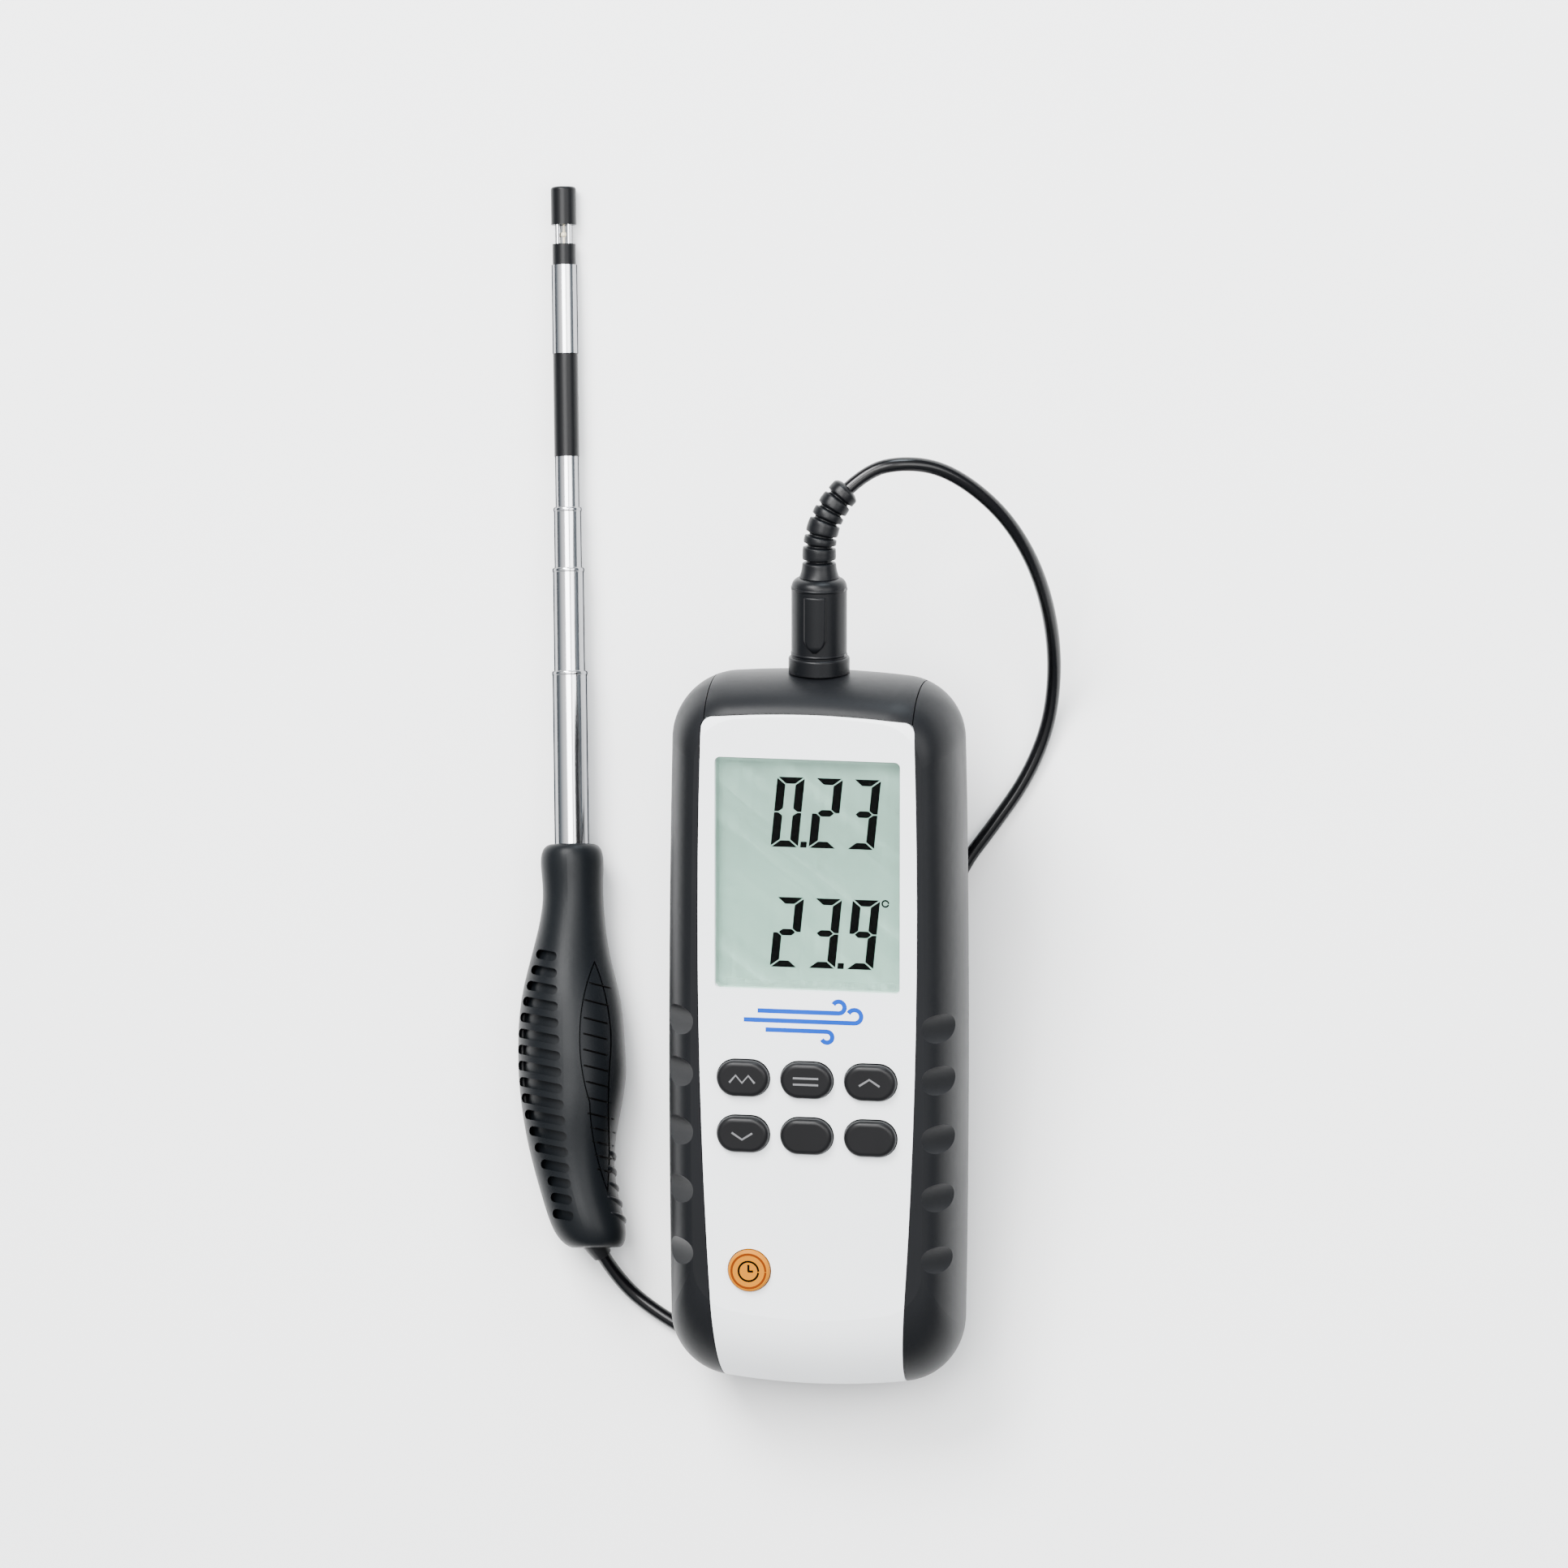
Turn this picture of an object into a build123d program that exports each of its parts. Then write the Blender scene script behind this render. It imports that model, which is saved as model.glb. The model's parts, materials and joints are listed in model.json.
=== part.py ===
"""Handheld hot-wire anemometer: a meter propped on its tilt stand, a telescopic probe, and the
sensor cable that joins them.

Millimetres, +Z up, +Y from the meter's lower end towards its socket, +X to the meter's right.
The table is Z = 0. The origin is under the middle of the meter and probe together.
"""

import os
from math import cos, pi, radians, sin, tan

from build123d import *

# ---------------------------------------------------------------- driving sizes: meter
METER_X = 22.22  # the meter's long axis, from the origin
METER_Y = -145.47  # the meter's lower end, from the origin
METER_LENGTH = 182.0
METER_HALF_WIDTH = 37.5
FACE_Z = 36.0  # the front face above the back face
MID_Z = 18.0  # the widest slice, where front and rear cases part
TILT = 12.0  # degrees that the stand props the meter up
FOOT_HEIGHT = 5.0
FOOT_RADIUS = 3.5
FOOT_Y = 14.0
FOOT_X = 24.5
UPPER_FOOT_Y = 166.0
CONTACT_Y = FOOT_Y - FOOT_RADIUS  # where the lower feet meet the table

GRIP_THICKNESS = 3.0
CASE_WALL = 2.0
FACE_WALL = 2.2
SEAM = 0.25  # gap that shows as a dark line between neighbouring covers

PLATE_TOP_Y = 174.5  # the front plate's upper edge
PLATE_TOP_RISE = 1.6  # how far that edge arches
PLATE_HALF_TOP = 26.8
PLATE_HALF_MID = 27.2
PLATE_HALF_END = 22.3

WINDOW_Y = 133.8
WINDOW_WIDTH = 46.8
WINDOW_LENGTH = 59.0

KEY_LENGTH = 13.2
KEY_WIDTH = 9.2
KEY_COLUMNS = (-16.1, 0.0, 16.1)
KEY_ROWS = (81.7, 67.4)
KEY_TOP_Z = FACE_Z + 2.2
KEY_TRAVEL = 1.0
KEY_GAP = 0.25
POWER_X = -14.6
POWER_Y = 32.4
POWER_RADIUS = 5.3

KEY_LOW_Z = 31.3
POWER_TOP_Z = FACE_Z + 1.4
NOTCHES = (95.5, 82.2, 67.2, 52.2, 36.2)  # thumb notches along each side
NOTCH_X = 37.3  # a notch is cut by a cylinder that lies across the grip's rounded edge
NOTCH_Z = 33.9
NOTCH_RADIUS = 5.0
NOTCH_LEAN = 49.0  # degrees up from sideways

BACK_HALF_WIDTH = 29.8
BACK_PANEL_END = 172.0

WINDOW_TOP_Z = 34.4
WINDOW_THICKNESS = 1.8
HOLDER_WIDTH = 54.0
HOLDER_LENGTH = 68.0
GLASS_WIDTH = 49.0
GLASS_LENGTH = 62.0
ZEBRA_HEIGHT = 1.2
BOARD_TOP_Z = 29.2
BOARD_THICKNESS = 1.6
BOARD_WIDTH = 59.0
BOARD_LENGTH = 150.0
BOARD_MIDDLE = 90.0
MAT_THICKNESS = 0.8
DOME_HEIGHT = 1.0
SCREW_SPOTS = ((20.0, 20.0), (22.4, 92.0), (17.0, 168.7))  # mirrored to the other side
BOSS_RADIUS = 3.4
SCREW_RADIUS = 1.45
SCREW_HEAD_RADIUS = 2.8
SCREW_SEAT_Z = 3.4

BATTERY_Y = 48.5  # middle of the battery
BATTERY_LENGTH = 46.4
BATTERY_WIDTH = 26.2
BATTERY_HEIGHT = 17.0
BATTERY_LOW_Z = 3.0
BAY_WALL = 1.2
BAY_WIDTH = 28.0
BAY_LENGTH = 58.0
BAY_MIDDLE = 50.5
BAY_ROOF_Z = 20.4
DOOR_WIDTH = 31.0
DOOR_LENGTH = 70.0
DOOR_MIDDLE = 46.5
DOOR_THICKNESS = 2.2
DOOR_SCREW_Y = 16.0
LEDGE_THICKNESS = 1.6

HINGE_Y = 134.0
HINGE_Z = 2.6
STAND_OPEN = 100.0  # degrees from folded to its stop
STAND_LENGTH = 35.58  # hinge axis to tip
STAND_HALF_WIDTH = 19.5
STAND_THICKNESS = 3.2
PIN_RADIUS = 1.0
PIN_CLEARANCE = 0.05
PIN_HALF_LENGTH = 22.0
RECESS_HALF_WIDTH = 20.0
RECESS_MIDDLE = 116.0
RECESS_LENGTH = 40.2
RECESS_DEPTH = 4.8

# ---------------------------------------------------------------- driving sizes: plug and cable
CABLE_DIAMETER = 3.6
SOCKET_RADIUS = 5.8
NOSE_RADIUS = 4.7
NOSE_LENGTH = 12.0
PLUG_RADIUS = 6.95
PLUG_RING = 4.0
PLUG_LENGTH = 24.0  # the case's end to the plug's shoulder
BOOT_RADIUS = 3.7
BOOT_STRAIGHT = 6.0
BOOT_BEND_RADIUS = 21.0
BOOT_BEND = 50.0  # degrees
BOOT_SAG = 25.0  # degrees that the bend turns down from sideways
COIL_X = METER_X
COIL_Y = METER_Y + 70.0
COIL_RADIUS = 20.0  # at the middle of its turns
COIL_HALF_WIDTH = 9.2
COIL_HEIGHT = 7.2
TIE_THICKNESS = 0.5
TIE_HALF_WIDTH = 4.0
COIL_SIDE = 25.0  # where both ends of the coil leave it, right of the meter's axis
COIL_TOP_Y = 92.0
COIL_LOW_Y = 50.0

# ---------------------------------------------------------------- driving sizes: probe
PROBE_TIP = (METER_X - 78.8, METER_Y + 294.8, 3.25)
PROBE_YAW = 3.24  # degrees off the Y axis
PROBE_PITCH = 2.5  # degrees, tip down, so that tip and handle both touch the table
TUBE_RADII = (4.35, 3.9, 3.45, 3.0)
TUBE_WALL = 0.3
SLIDING_GAP = 0.08
LIP_LENGTH = 10.0
TUBE_FRONTS = (122.6, 96.5, 81.2, 68.3)  # distances from the tip
TUBE_BACKS = (250.0, 196.5, 176.2, 158.5)
BUSH_FLANGE = 2.0
BUSH_SPIGOT = 3.0
HANDLE_FRONT = 166.3
HANDLE_BACK = 268.0
GRIP_SKIN = 2.4
PAD_THICKNESS = 1.0
PAD_GAP = 0.3
GLAND_LENGTH = 7.0
LOUVRES = 17
LOUVRE_FIRST = 194.5
LOUVRE_LAST = 260.0
LOUVRE_INNER = -2.6
LOUVRE_SHORT = 6.0
LOUVRE_LONGER = 7.0
LOUVRE_HEIGHT = 2.4
LOUVRE_DEPTH = 1.7
LOUVRE_SLANT = -12.0
WIRE_PASSAGE = 1.5
CAP_RADIUS = 3.2
CAP_LENGTH = 9.6
POST_CIRCLE = 2.0
POST_RADIUS = 0.55
COLLAR_FRONT = 14.5
COLLAR_RADIUS = 2.95
SLEEVE_FRONT = 19.8
SLEEVE_RADIUS = 3.25
STEM_FRONT = 42.2
STEM_RADIUS = 3.15

os.makedirs("parts", exist_ok=True)

# ---------------------------------------------------------------- frames
METER = Plane(
    origin=(
        METER_X,
        METER_Y,
        FOOT_HEIGHT * cos(radians(TILT)) - CONTACT_Y * sin(radians(TILT)),
    ),
    x_dir=(1, 0, 0),
    z_dir=(0, -sin(radians(TILT)), cos(radians(TILT))),
)
PROBE = Plane(
    origin=PROBE_TIP,
    x_dir=(cos(radians(PROBE_YAW)), sin(radians(PROBE_YAW)), 0),
    z_dir=(
        sin(radians(PROBE_YAW)) * cos(radians(PROBE_PITCH)),
        -cos(radians(PROBE_YAW)) * cos(radians(PROBE_PITCH)),
        sin(radians(PROBE_PITCH)),
    ),
)


def save(part, name):
    """Labels a finished piece and writes it."""
    part.label = name
    export_step(part, f"parts/{name}.step")
    return part


def meter_point(x, y, z):
    """A point of the meter's own frame, in the row frame."""
    return METER.from_local_coords(Vector(x, y, z))


# ---------------------------------------------------------------- meter: shared shapes
def outline(side, top, bottom, corner):
    """The meter's bowed outline, drawn in by an amount at its sides, top and bottom."""
    middle = METER_HALF_WIDTH - side
    upper, lower = middle - 1.2, middle - 0.8
    y_top, y_low = METER_LENGTH - top, bottom
    with BuildSketch() as shape:
        with BuildLine():
            left = ThreePointArc(
                (-lower, y_low + 4.0), (-middle, METER_LENGTH / 2), (-upper, y_top - 2.6)
            )
            over = ThreePointArc(left @ 1, (0, y_top), (upper, y_top - 2.6))
            right = ThreePointArc(
                over @ 1, (middle, METER_LENGTH / 2), (lower, y_low + 4.0)
            )
            ThreePointArc(right @ 1, (0, y_low), left @ 0)
        make_face()
        fillet(shape.vertices(), corner)
    return shape.sketch


def slab(skin, low, high, roll_front, roll_back, bottom_front, bottom_back):
    """A pillow with the meter's outline: its sides roll in towards a flat front and back.

    skin draws the whole outline in; the other arguments are the flats' heights and the
    extra amounts by which the sides and the lower end roll in at those flats.
    """
    flat_angle = 84.0
    angles = (18, 36, 54, 70, flat_angle)

    def share(angle):
        return (1 - cos(radians(angle))) / (1 - cos(radians(flat_angle)))

    slices = [(MID_Z, 0, 0)]
    for angle in angles:
        rise = sin(radians(angle)) / sin(radians(flat_angle))
        slices.append(
            (MID_Z + (high - MID_Z) * rise, roll_front * share(angle), bottom_front * share(angle))
        )
        slices.insert(
            0,
            (MID_Z - (MID_Z - low) * rise, roll_back * share(angle), bottom_back * share(angle)),
        )
    with BuildPart() as body:
        for z, roll, end in slices:
            with BuildSketch(METER.offset(z)):
                add(outline(skin + roll, skin + roll, skin + end, 16.0 - skin - 0.6 * roll))
        loft()
    return body.part


def plate_region(grow):
    """The front plate's outline: bowed sides that narrow to the lower end, an arched top."""
    with BuildSketch() as shape:
        with BuildLine():
            left = ThreePointArc(
                (-PLATE_HALF_END - grow, -6),
                (-PLATE_HALF_MID - grow, 84),
                (-PLATE_HALF_TOP - grow, PLATE_TOP_Y - PLATE_TOP_RISE + grow),
            )
            over = ThreePointArc(
                left @ 1,
                (0, PLATE_TOP_Y + grow),
                (PLATE_HALF_TOP + grow, PLATE_TOP_Y - PLATE_TOP_RISE + grow),
            )
            right = ThreePointArc(
                over @ 1, (PLATE_HALF_MID + grow, 84), (PLATE_HALF_END + grow, -6)
            )
            Line(right @ 1, left @ 0)
        make_face()
        fillet(shape.vertices().sort_by(Axis.Y)[-2:], 3.0 + grow)
    return shape.sketch


def end_region(grow):
    """The strip between the side grips at the socket end."""
    with BuildSketch() as shape:
        with Locations((0, METER_LENGTH)):
            Rectangle(2 * (PLATE_HALF_TOP - 0.6 + grow), 40)
    return shape.sketch


OUTER = slab(0, 0, FACE_Z, 8.0, 7.0, 20.0, 7.0)
HARD = slab(GRIP_THICKNESS, 3.0, FACE_Z - 3.0, 6.0, 5.0, 18.0, 5.0)
CAVITY = slab(
    GRIP_THICKNESS + CASE_WALL, FACE_WALL, FACE_Z - FACE_WALL, 6.0, 5.0, 20.0, 6.0
)
PLUG = Plane(
    origin=meter_point(0, METER_LENGTH, MID_Z), x_dir=(1, 0, 0), z_dir=METER.y_dir
)

OUTWARD = Axis(METER.origin, METER.z_dir)
ALONG_PLUG = Axis(PLUG.origin, PLUG.z_dir)


# ---------------------------------------------------------------- meter: covers
def screw_places():
    """The places of the case screws, in the meter's own frame."""
    return [(side * x, y) for side in (-1, 1) for x, y in SCREW_SPOTS]


with BuildPart() as front_case:
    add(OUTER)
    with BuildSketch(METER.offset(MID_Z)):
        add(plate_region(0))
    extrude(amount=FACE_Z, mode=Mode.INTERSECT)
    add(HARD)
    split(bisect_by=METER.offset(MID_Z), keep=Keep.TOP)
    add(CAVITY, mode=Mode.SUBTRACT)
    with BuildSketch(METER.offset(MID_Z)):
        with Locations(*screw_places()):
            Circle(BOSS_RADIUS)
    extrude(amount=FACE_Z - FACE_WALL - MID_Z + 0.2)
    with BuildSketch(METER.offset(MID_Z)):
        with Locations(*screw_places()):
            Circle(SCREW_RADIUS)
    extrude(amount=10, mode=Mode.SUBTRACT)
    with BuildSketch(METER.offset(FACE_Z)):
        with Locations((0, WINDOW_Y)):
            RectangleRounded(WINDOW_WIDTH, WINDOW_LENGTH, 1.4)
        for row in KEY_ROWS:
            with Locations(*[(column, row) for column in KEY_COLUMNS]):
                SlotOverall(KEY_LENGTH + 2 * KEY_GAP, KEY_WIDTH + 2 * KEY_GAP)
        with Locations((POWER_X, POWER_Y)):
            Circle(POWER_RADIUS + KEY_GAP)
    extrude(amount=-6, mode=Mode.SUBTRACT)
    with BuildSketch(PLUG.offset(1)):
        Circle(SOCKET_RADIUS)
    extrude(amount=-13, mode=Mode.SUBTRACT)
save(front_case.part, "front_case")

with BuildPart() as rear_case:
    add(OUTER)
    with BuildSketch(METER):
        with Locations((0, BACK_PANEL_END / 2 - 10)):
            Rectangle(2 * BACK_HALF_WIDTH, BACK_PANEL_END + 20)
    extrude(amount=MID_Z, mode=Mode.INTERSECT)
    add(HARD)
    split(bisect_by=METER.offset(MID_Z), keep=Keep.BOTTOM)
    add(CAVITY, mode=Mode.SUBTRACT)
    with BuildSketch(METER.offset(FACE_WALL - 0.2)):
        with Locations(*screw_places()):
            Circle(BOSS_RADIUS)
    extrude(amount=MID_Z - FACE_WALL + 0.2)
    with BuildSketch(METER.offset(FACE_WALL - 0.2)):  # the ledge that the door closes against
        with Locations((0, DOOR_MIDDLE)):
            Rectangle(DOOR_WIDTH + 5, DOOR_LENGTH + 5)
    extrude(amount=LEDGE_THICKNESS)
    with BuildSketch(METER.offset(FACE_WALL - 0.2)):  # the battery bay's walls and roof
        with Locations((0, BAY_MIDDLE)):
            Rectangle(BAY_WIDTH + 2 * BAY_WALL, BAY_LENGTH + 2 * BAY_WALL)
    extrude(amount=BAY_ROOF_Z + BAY_WALL - FACE_WALL + 0.2)
    with BuildSketch(METER):
        with Locations((0, BAY_MIDDLE)):
            Rectangle(BAY_WIDTH, BAY_LENGTH)
    extrude(amount=BAY_ROOF_Z, mode=Mode.SUBTRACT)
    with BuildSketch(METER.offset(FACE_WALL - 0.2)):  # boss for the door's screw
        with Locations((0, DOOR_SCREW_Y)):
            Circle(3.2)
    extrude(amount=9)
    with BuildSketch(METER):
        with Locations((0, DOOR_MIDDLE)):
            Rectangle(DOOR_WIDTH, DOOR_LENGTH)
    extrude(amount=DOOR_THICKNESS, mode=Mode.SUBTRACT)
    with BuildSketch(METER):
        with Locations((0, DOOR_SCREW_Y)):
            Circle(SCREW_RADIUS)
    extrude(amount=8, mode=Mode.SUBTRACT)
    with BuildSketch(METER.offset(0.6)):  # the stand's recess: floor and walls, then its space
        with Locations((0, RECESS_MIDDLE)):
            Rectangle(2 * RECESS_HALF_WIDTH + 6, RECESS_LENGTH + 5)
    extrude(amount=RECESS_DEPTH + 1.2)
    with BuildSketch(METER):
        with Locations((0, RECESS_MIDDLE)):
            Rectangle(2 * RECESS_HALF_WIDTH, RECESS_LENGTH)
    extrude(amount=RECESS_DEPTH, mode=Mode.SUBTRACT)
    with BuildSketch(Plane(meter_point(0, HINGE_Y, HINGE_Z), (0, 1, 0), (1, 0, 0))):
        Circle(PIN_RADIUS)
    extrude(amount=PIN_HALF_LENGTH, both=True, mode=Mode.SUBTRACT)
    with BuildSketch(METER):
        with Locations(*screw_places()):
            Circle(SCREW_RADIUS)
    extrude(amount=MID_Z, mode=Mode.SUBTRACT)
    with BuildSketch(METER):
        with Locations(*screw_places()):
            Circle(SCREW_HEAD_RADIUS)
    extrude(amount=SCREW_SEAT_Z, mode=Mode.SUBTRACT)
    with BuildSketch(PLUG.offset(1)):
        Circle(SOCKET_RADIUS)
    extrude(amount=-13, mode=Mode.SUBTRACT)
save(rear_case.part, "rear_case")

with BuildPart() as skin:  # the rubber around the sides and the socket end, still in one
    add(OUTER)
    add(HARD, mode=Mode.SUBTRACT)
    with BuildSketch(METER.offset(MID_Z)):
        add(plate_region(SEAM))
    extrude(amount=FACE_Z, mode=Mode.SUBTRACT)
    with BuildSketch(METER.offset(MID_Z)):
        with Locations((0, BACK_PANEL_END / 2 - 10)):
            Rectangle(2 * (BACK_HALF_WIDTH + SEAM), BACK_PANEL_END + 20 + 2 * SEAM)
    extrude(amount=-FACE_Z, mode=Mode.SUBTRACT)

with BuildPart() as top_cap:
    add(skin.part)
    with BuildSketch(METER):
        add(end_region(0))
    extrude(amount=FACE_Z, mode=Mode.INTERSECT)
    with BuildSketch(PLUG.offset(1)):
        Circle(SOCKET_RADIUS)
    extrude(amount=-13, mode=Mode.SUBTRACT)
save(top_cap.part, "top_cap")

with BuildPart() as grips:
    add(skin.part)
    with BuildSketch(METER):
        add(end_region(SEAM))
    extrude(amount=FACE_Z, mode=Mode.SUBTRACT)
    for side in (-1, 1):
        inwards = METER.x_dir * -side * cos(radians(NOTCH_LEAN))
        over_edge = inwards + METER.z_dir * sin(radians(NOTCH_LEAN))
        for notch in NOTCHES:
            middle = meter_point(side * NOTCH_X, notch, NOTCH_Z)
            with BuildSketch(Plane(middle, z_dir=over_edge)):
                Circle(NOTCH_RADIUS)
            extrude(amount=12, both=True, mode=Mode.SUBTRACT)

for name, keep in (("left_grip", Keep.BOTTOM), ("right_grip", Keep.TOP)):
    with BuildPart() as grip:
        add(grips.part)
        split(bisect_by=Plane(METER.origin, (0, 1, 0), (1, 0, 0)), keep=keep)
    save(grip.part, name)

with BuildPart() as rubber_feet:
    with BuildSketch(METER):
        with Locations((-FOOT_X, FOOT_Y), (FOOT_X, FOOT_Y)):
            Circle(FOOT_RADIUS)
        with Locations((-FOOT_X, UPPER_FOOT_Y), (FOOT_X, UPPER_FOOT_Y)):
            Circle(FOOT_RADIUS)
    extrude(amount=-FOOT_HEIGHT)
save(rubber_feet.part, "rubber_feet")

with BuildPart() as case_screws:
    with BuildSketch(METER.offset(SCREW_SEAT_Z - 2.0)):
        with Locations(*screw_places()):
            Circle(SCREW_HEAD_RADIUS - 0.2)
    extrude(amount=2.0)
    with BuildSketch(METER.offset(SCREW_SEAT_Z)):
        with Locations(*screw_places()):
            Circle(SCREW_RADIUS)
    extrude(amount=MID_Z + 8 - SCREW_SEAT_Z)
save(case_screws.part, "case_screws")

# ---------------------------------------------------------------- meter: battery and stand
with BuildPart() as battery:
    with BuildSketch(METER.offset(BATTERY_LOW_Z)):
        with Locations((0, BATTERY_Y)):
            RectangleRounded(BATTERY_WIDTH, BATTERY_LENGTH, 1.2)
    extrude(amount=BATTERY_HEIGHT)
save(battery.part, "battery")

with BuildPart() as battery_snap:
    with BuildSketch(METER.offset(BATTERY_LOW_Z + 2)):
        with Locations((0, BATTERY_Y + BATTERY_LENGTH / 2 + 1.6)):
            RectangleRounded(24, 3.2, 0.8)
    extrude(amount=12)
save(battery_snap.part, "battery_snap")

with BuildPart() as battery_door:
    with BuildSketch(METER):
        with Locations((0, DOOR_MIDDLE)):
            Rectangle(DOOR_WIDTH - 0.3, DOOR_LENGTH)
    extrude(amount=DOOR_THICKNESS)
    with BuildSketch(METER.offset(DOOR_THICKNESS)):  # ribs that hold the battery up
        with Locations((-8, BATTERY_Y), (8, BATTERY_Y)):
            Rectangle(2, 38)
    extrude(amount=BATTERY_LOW_Z - DOOR_THICKNESS)
    with BuildSketch(METER):
        with Locations((0, DOOR_SCREW_Y)):
            Circle(SCREW_RADIUS)
    extrude(amount=DOOR_THICKNESS, mode=Mode.SUBTRACT)
    with BuildSketch(METER):
        with Locations((0, DOOR_SCREW_Y)):
            Circle(SCREW_HEAD_RADIUS)
    extrude(amount=1.2, mode=Mode.SUBTRACT)
save(battery_door.part, "battery_door")

with BuildPart() as door_screw:
    with BuildSketch(METER.offset(0.1)):
        with Locations((0, DOOR_SCREW_Y)):
            Circle(SCREW_HEAD_RADIUS - 0.2)
    extrude(amount=1.1)
    with BuildSketch(METER.offset(1.2)):
        with Locations((0, DOOR_SCREW_Y)):
            Circle(SCREW_RADIUS)
    extrude(amount=6.8)
save(door_screw.part, "door_screw")

# The stand's own frame: X along the leg from the hinge, Z out of its upper face.
LEAN = radians(STAND_OPEN - 90)
STAND = Plane(
    origin=meter_point(0, HINGE_Y, HINGE_Z),
    x_dir=METER.y_dir * sin(LEAN) - METER.z_dir * cos(LEAN),
    z_dir=METER.y_dir * cos(LEAN) + METER.z_dir * sin(LEAN),
)
with BuildPart() as tilt_stand:
    with BuildSketch(STAND.offset(-STAND_THICKNESS / 2)):
        with Locations((STAND_LENGTH / 2 - STAND_THICKNESS / 4, 0)):
            Rectangle(STAND_LENGTH - STAND_THICKNESS / 2, 2 * STAND_HALF_WIDTH)
        with Locations((STAND_LENGTH * 0.56, 0)):
            RectangleRounded(STAND_LENGTH * 0.5, STAND_HALF_WIDTH * 1.1, 3, mode=Mode.SUBTRACT)
    extrude(amount=STAND_THICKNESS)
    across = Plane(STAND.origin, STAND.x_dir, (1, 0, 0))
    with BuildSketch(across):
        Circle(STAND_THICKNESS / 2)
        with Locations((STAND_LENGTH - STAND_THICKNESS / 2, 0)):
            Circle(STAND_THICKNESS / 2)
    extrude(amount=STAND_HALF_WIDTH, both=True)
    with BuildSketch(across):
        Circle(PIN_RADIUS + PIN_CLEARANCE)
    extrude(amount=STAND_HALF_WIDTH, both=True, mode=Mode.SUBTRACT)
save(tilt_stand.part, "tilt_stand")

with BuildPart() as stand_pin:
    with BuildSketch(across):
        Circle(PIN_RADIUS)
    extrude(amount=PIN_HALF_LENGTH, both=True)
save(stand_pin.part, "stand_pin")

# ---------------------------------------------------------------- meter: display and keys
with BuildPart() as lcd_window:
    with BuildSketch(METER.offset(WINDOW_TOP_Z)):
        with Locations((0, WINDOW_Y)):
            RectangleRounded(WINDOW_WIDTH, WINDOW_LENGTH, 1.4)
    extrude(amount=-WINDOW_THICKNESS)
save(lcd_window.part, "lcd_window")

with BuildPart() as lcd_holder:
    with BuildSketch(METER.offset(BOARD_TOP_Z)):
        with Locations((0, WINDOW_Y)):
            RectangleRounded(HOLDER_WIDTH, HOLDER_LENGTH, 4.0)
            Rectangle(GLASS_WIDTH, GLASS_LENGTH, mode=Mode.SUBTRACT)
        with Locations(*screw_places()):
            Circle(BOSS_RADIUS + 0.1, mode=Mode.SUBTRACT)
    extrude(amount=WINDOW_TOP_Z - WINDOW_THICKNESS - BOARD_TOP_Z)
save(lcd_holder.part, "lcd_holder")

with BuildPart() as lcd_glass:
    with BuildSketch(METER.offset(BOARD_TOP_Z + ZEBRA_HEIGHT)):
        with Locations((0, WINDOW_Y)):
            Rectangle(GLASS_WIDTH, GLASS_LENGTH)
    extrude(amount=WINDOW_TOP_Z - WINDOW_THICKNESS - BOARD_TOP_Z - ZEBRA_HEIGHT)
save(lcd_glass.part, "lcd_glass")

with BuildPart() as zebra_strips:
    with BuildSketch(METER.offset(BOARD_TOP_Z)):
        with Locations((0, WINDOW_Y)):
            with GridLocations(1, GLASS_LENGTH - 4, 1, 2):
                Rectangle(GLASS_WIDTH - 6, 2)
    extrude(amount=ZEBRA_HEIGHT)
save(zebra_strips.part, "zebra_strips")

with BuildPart() as main_board:
    with BuildSketch(METER.offset(BOARD_TOP_Z)):
        with Locations((0, BOARD_MIDDLE)):
            RectangleRounded(BOARD_WIDTH, BOARD_LENGTH, 10)
        with Locations(*screw_places()):
            Circle(BOSS_RADIUS, mode=Mode.SUBTRACT)
    extrude(amount=-BOARD_THICKNESS)
save(main_board.part, "main_board")

with BuildPart() as board_chips:
    with BuildSketch(METER.offset(BOARD_TOP_Z - BOARD_THICKNESS)):
        with Locations((0, 128), (-14, 104), (14, 104)):
            Rectangle(14, 10)
    extrude(amount=-2.0)
save(board_chips.part, "board_chips")

KEY_PLACES = [(column, row) for row in KEY_ROWS for column in KEY_COLUMNS]
with BuildPart() as key_domes:
    for x, y in KEY_PLACES + [(POWER_X, POWER_Y)]:
        with BuildSketch(METER.offset(BOARD_TOP_Z)):
            with Locations((x, y)):
                Circle(2.5)
        extrude(amount=DOME_HEIGHT)
save(key_domes.part, "key_domes")

with BuildPart() as keypad_mat:
    with BuildSketch(METER.offset(BOARD_TOP_Z)):
        with Locations((0, 57)):
            RectangleRounded(49, 76, 3)
        with Locations(*KEY_PLACES, (POWER_X, POWER_Y)):
            Circle(2.5, mode=Mode.SUBTRACT)
        with Locations(*screw_places()):
            Circle(BOSS_RADIUS + 0.2, mode=Mode.SUBTRACT)
    extrude(amount=MAT_THICKNESS)
save(keypad_mat.part, "keypad_mat")

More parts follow.
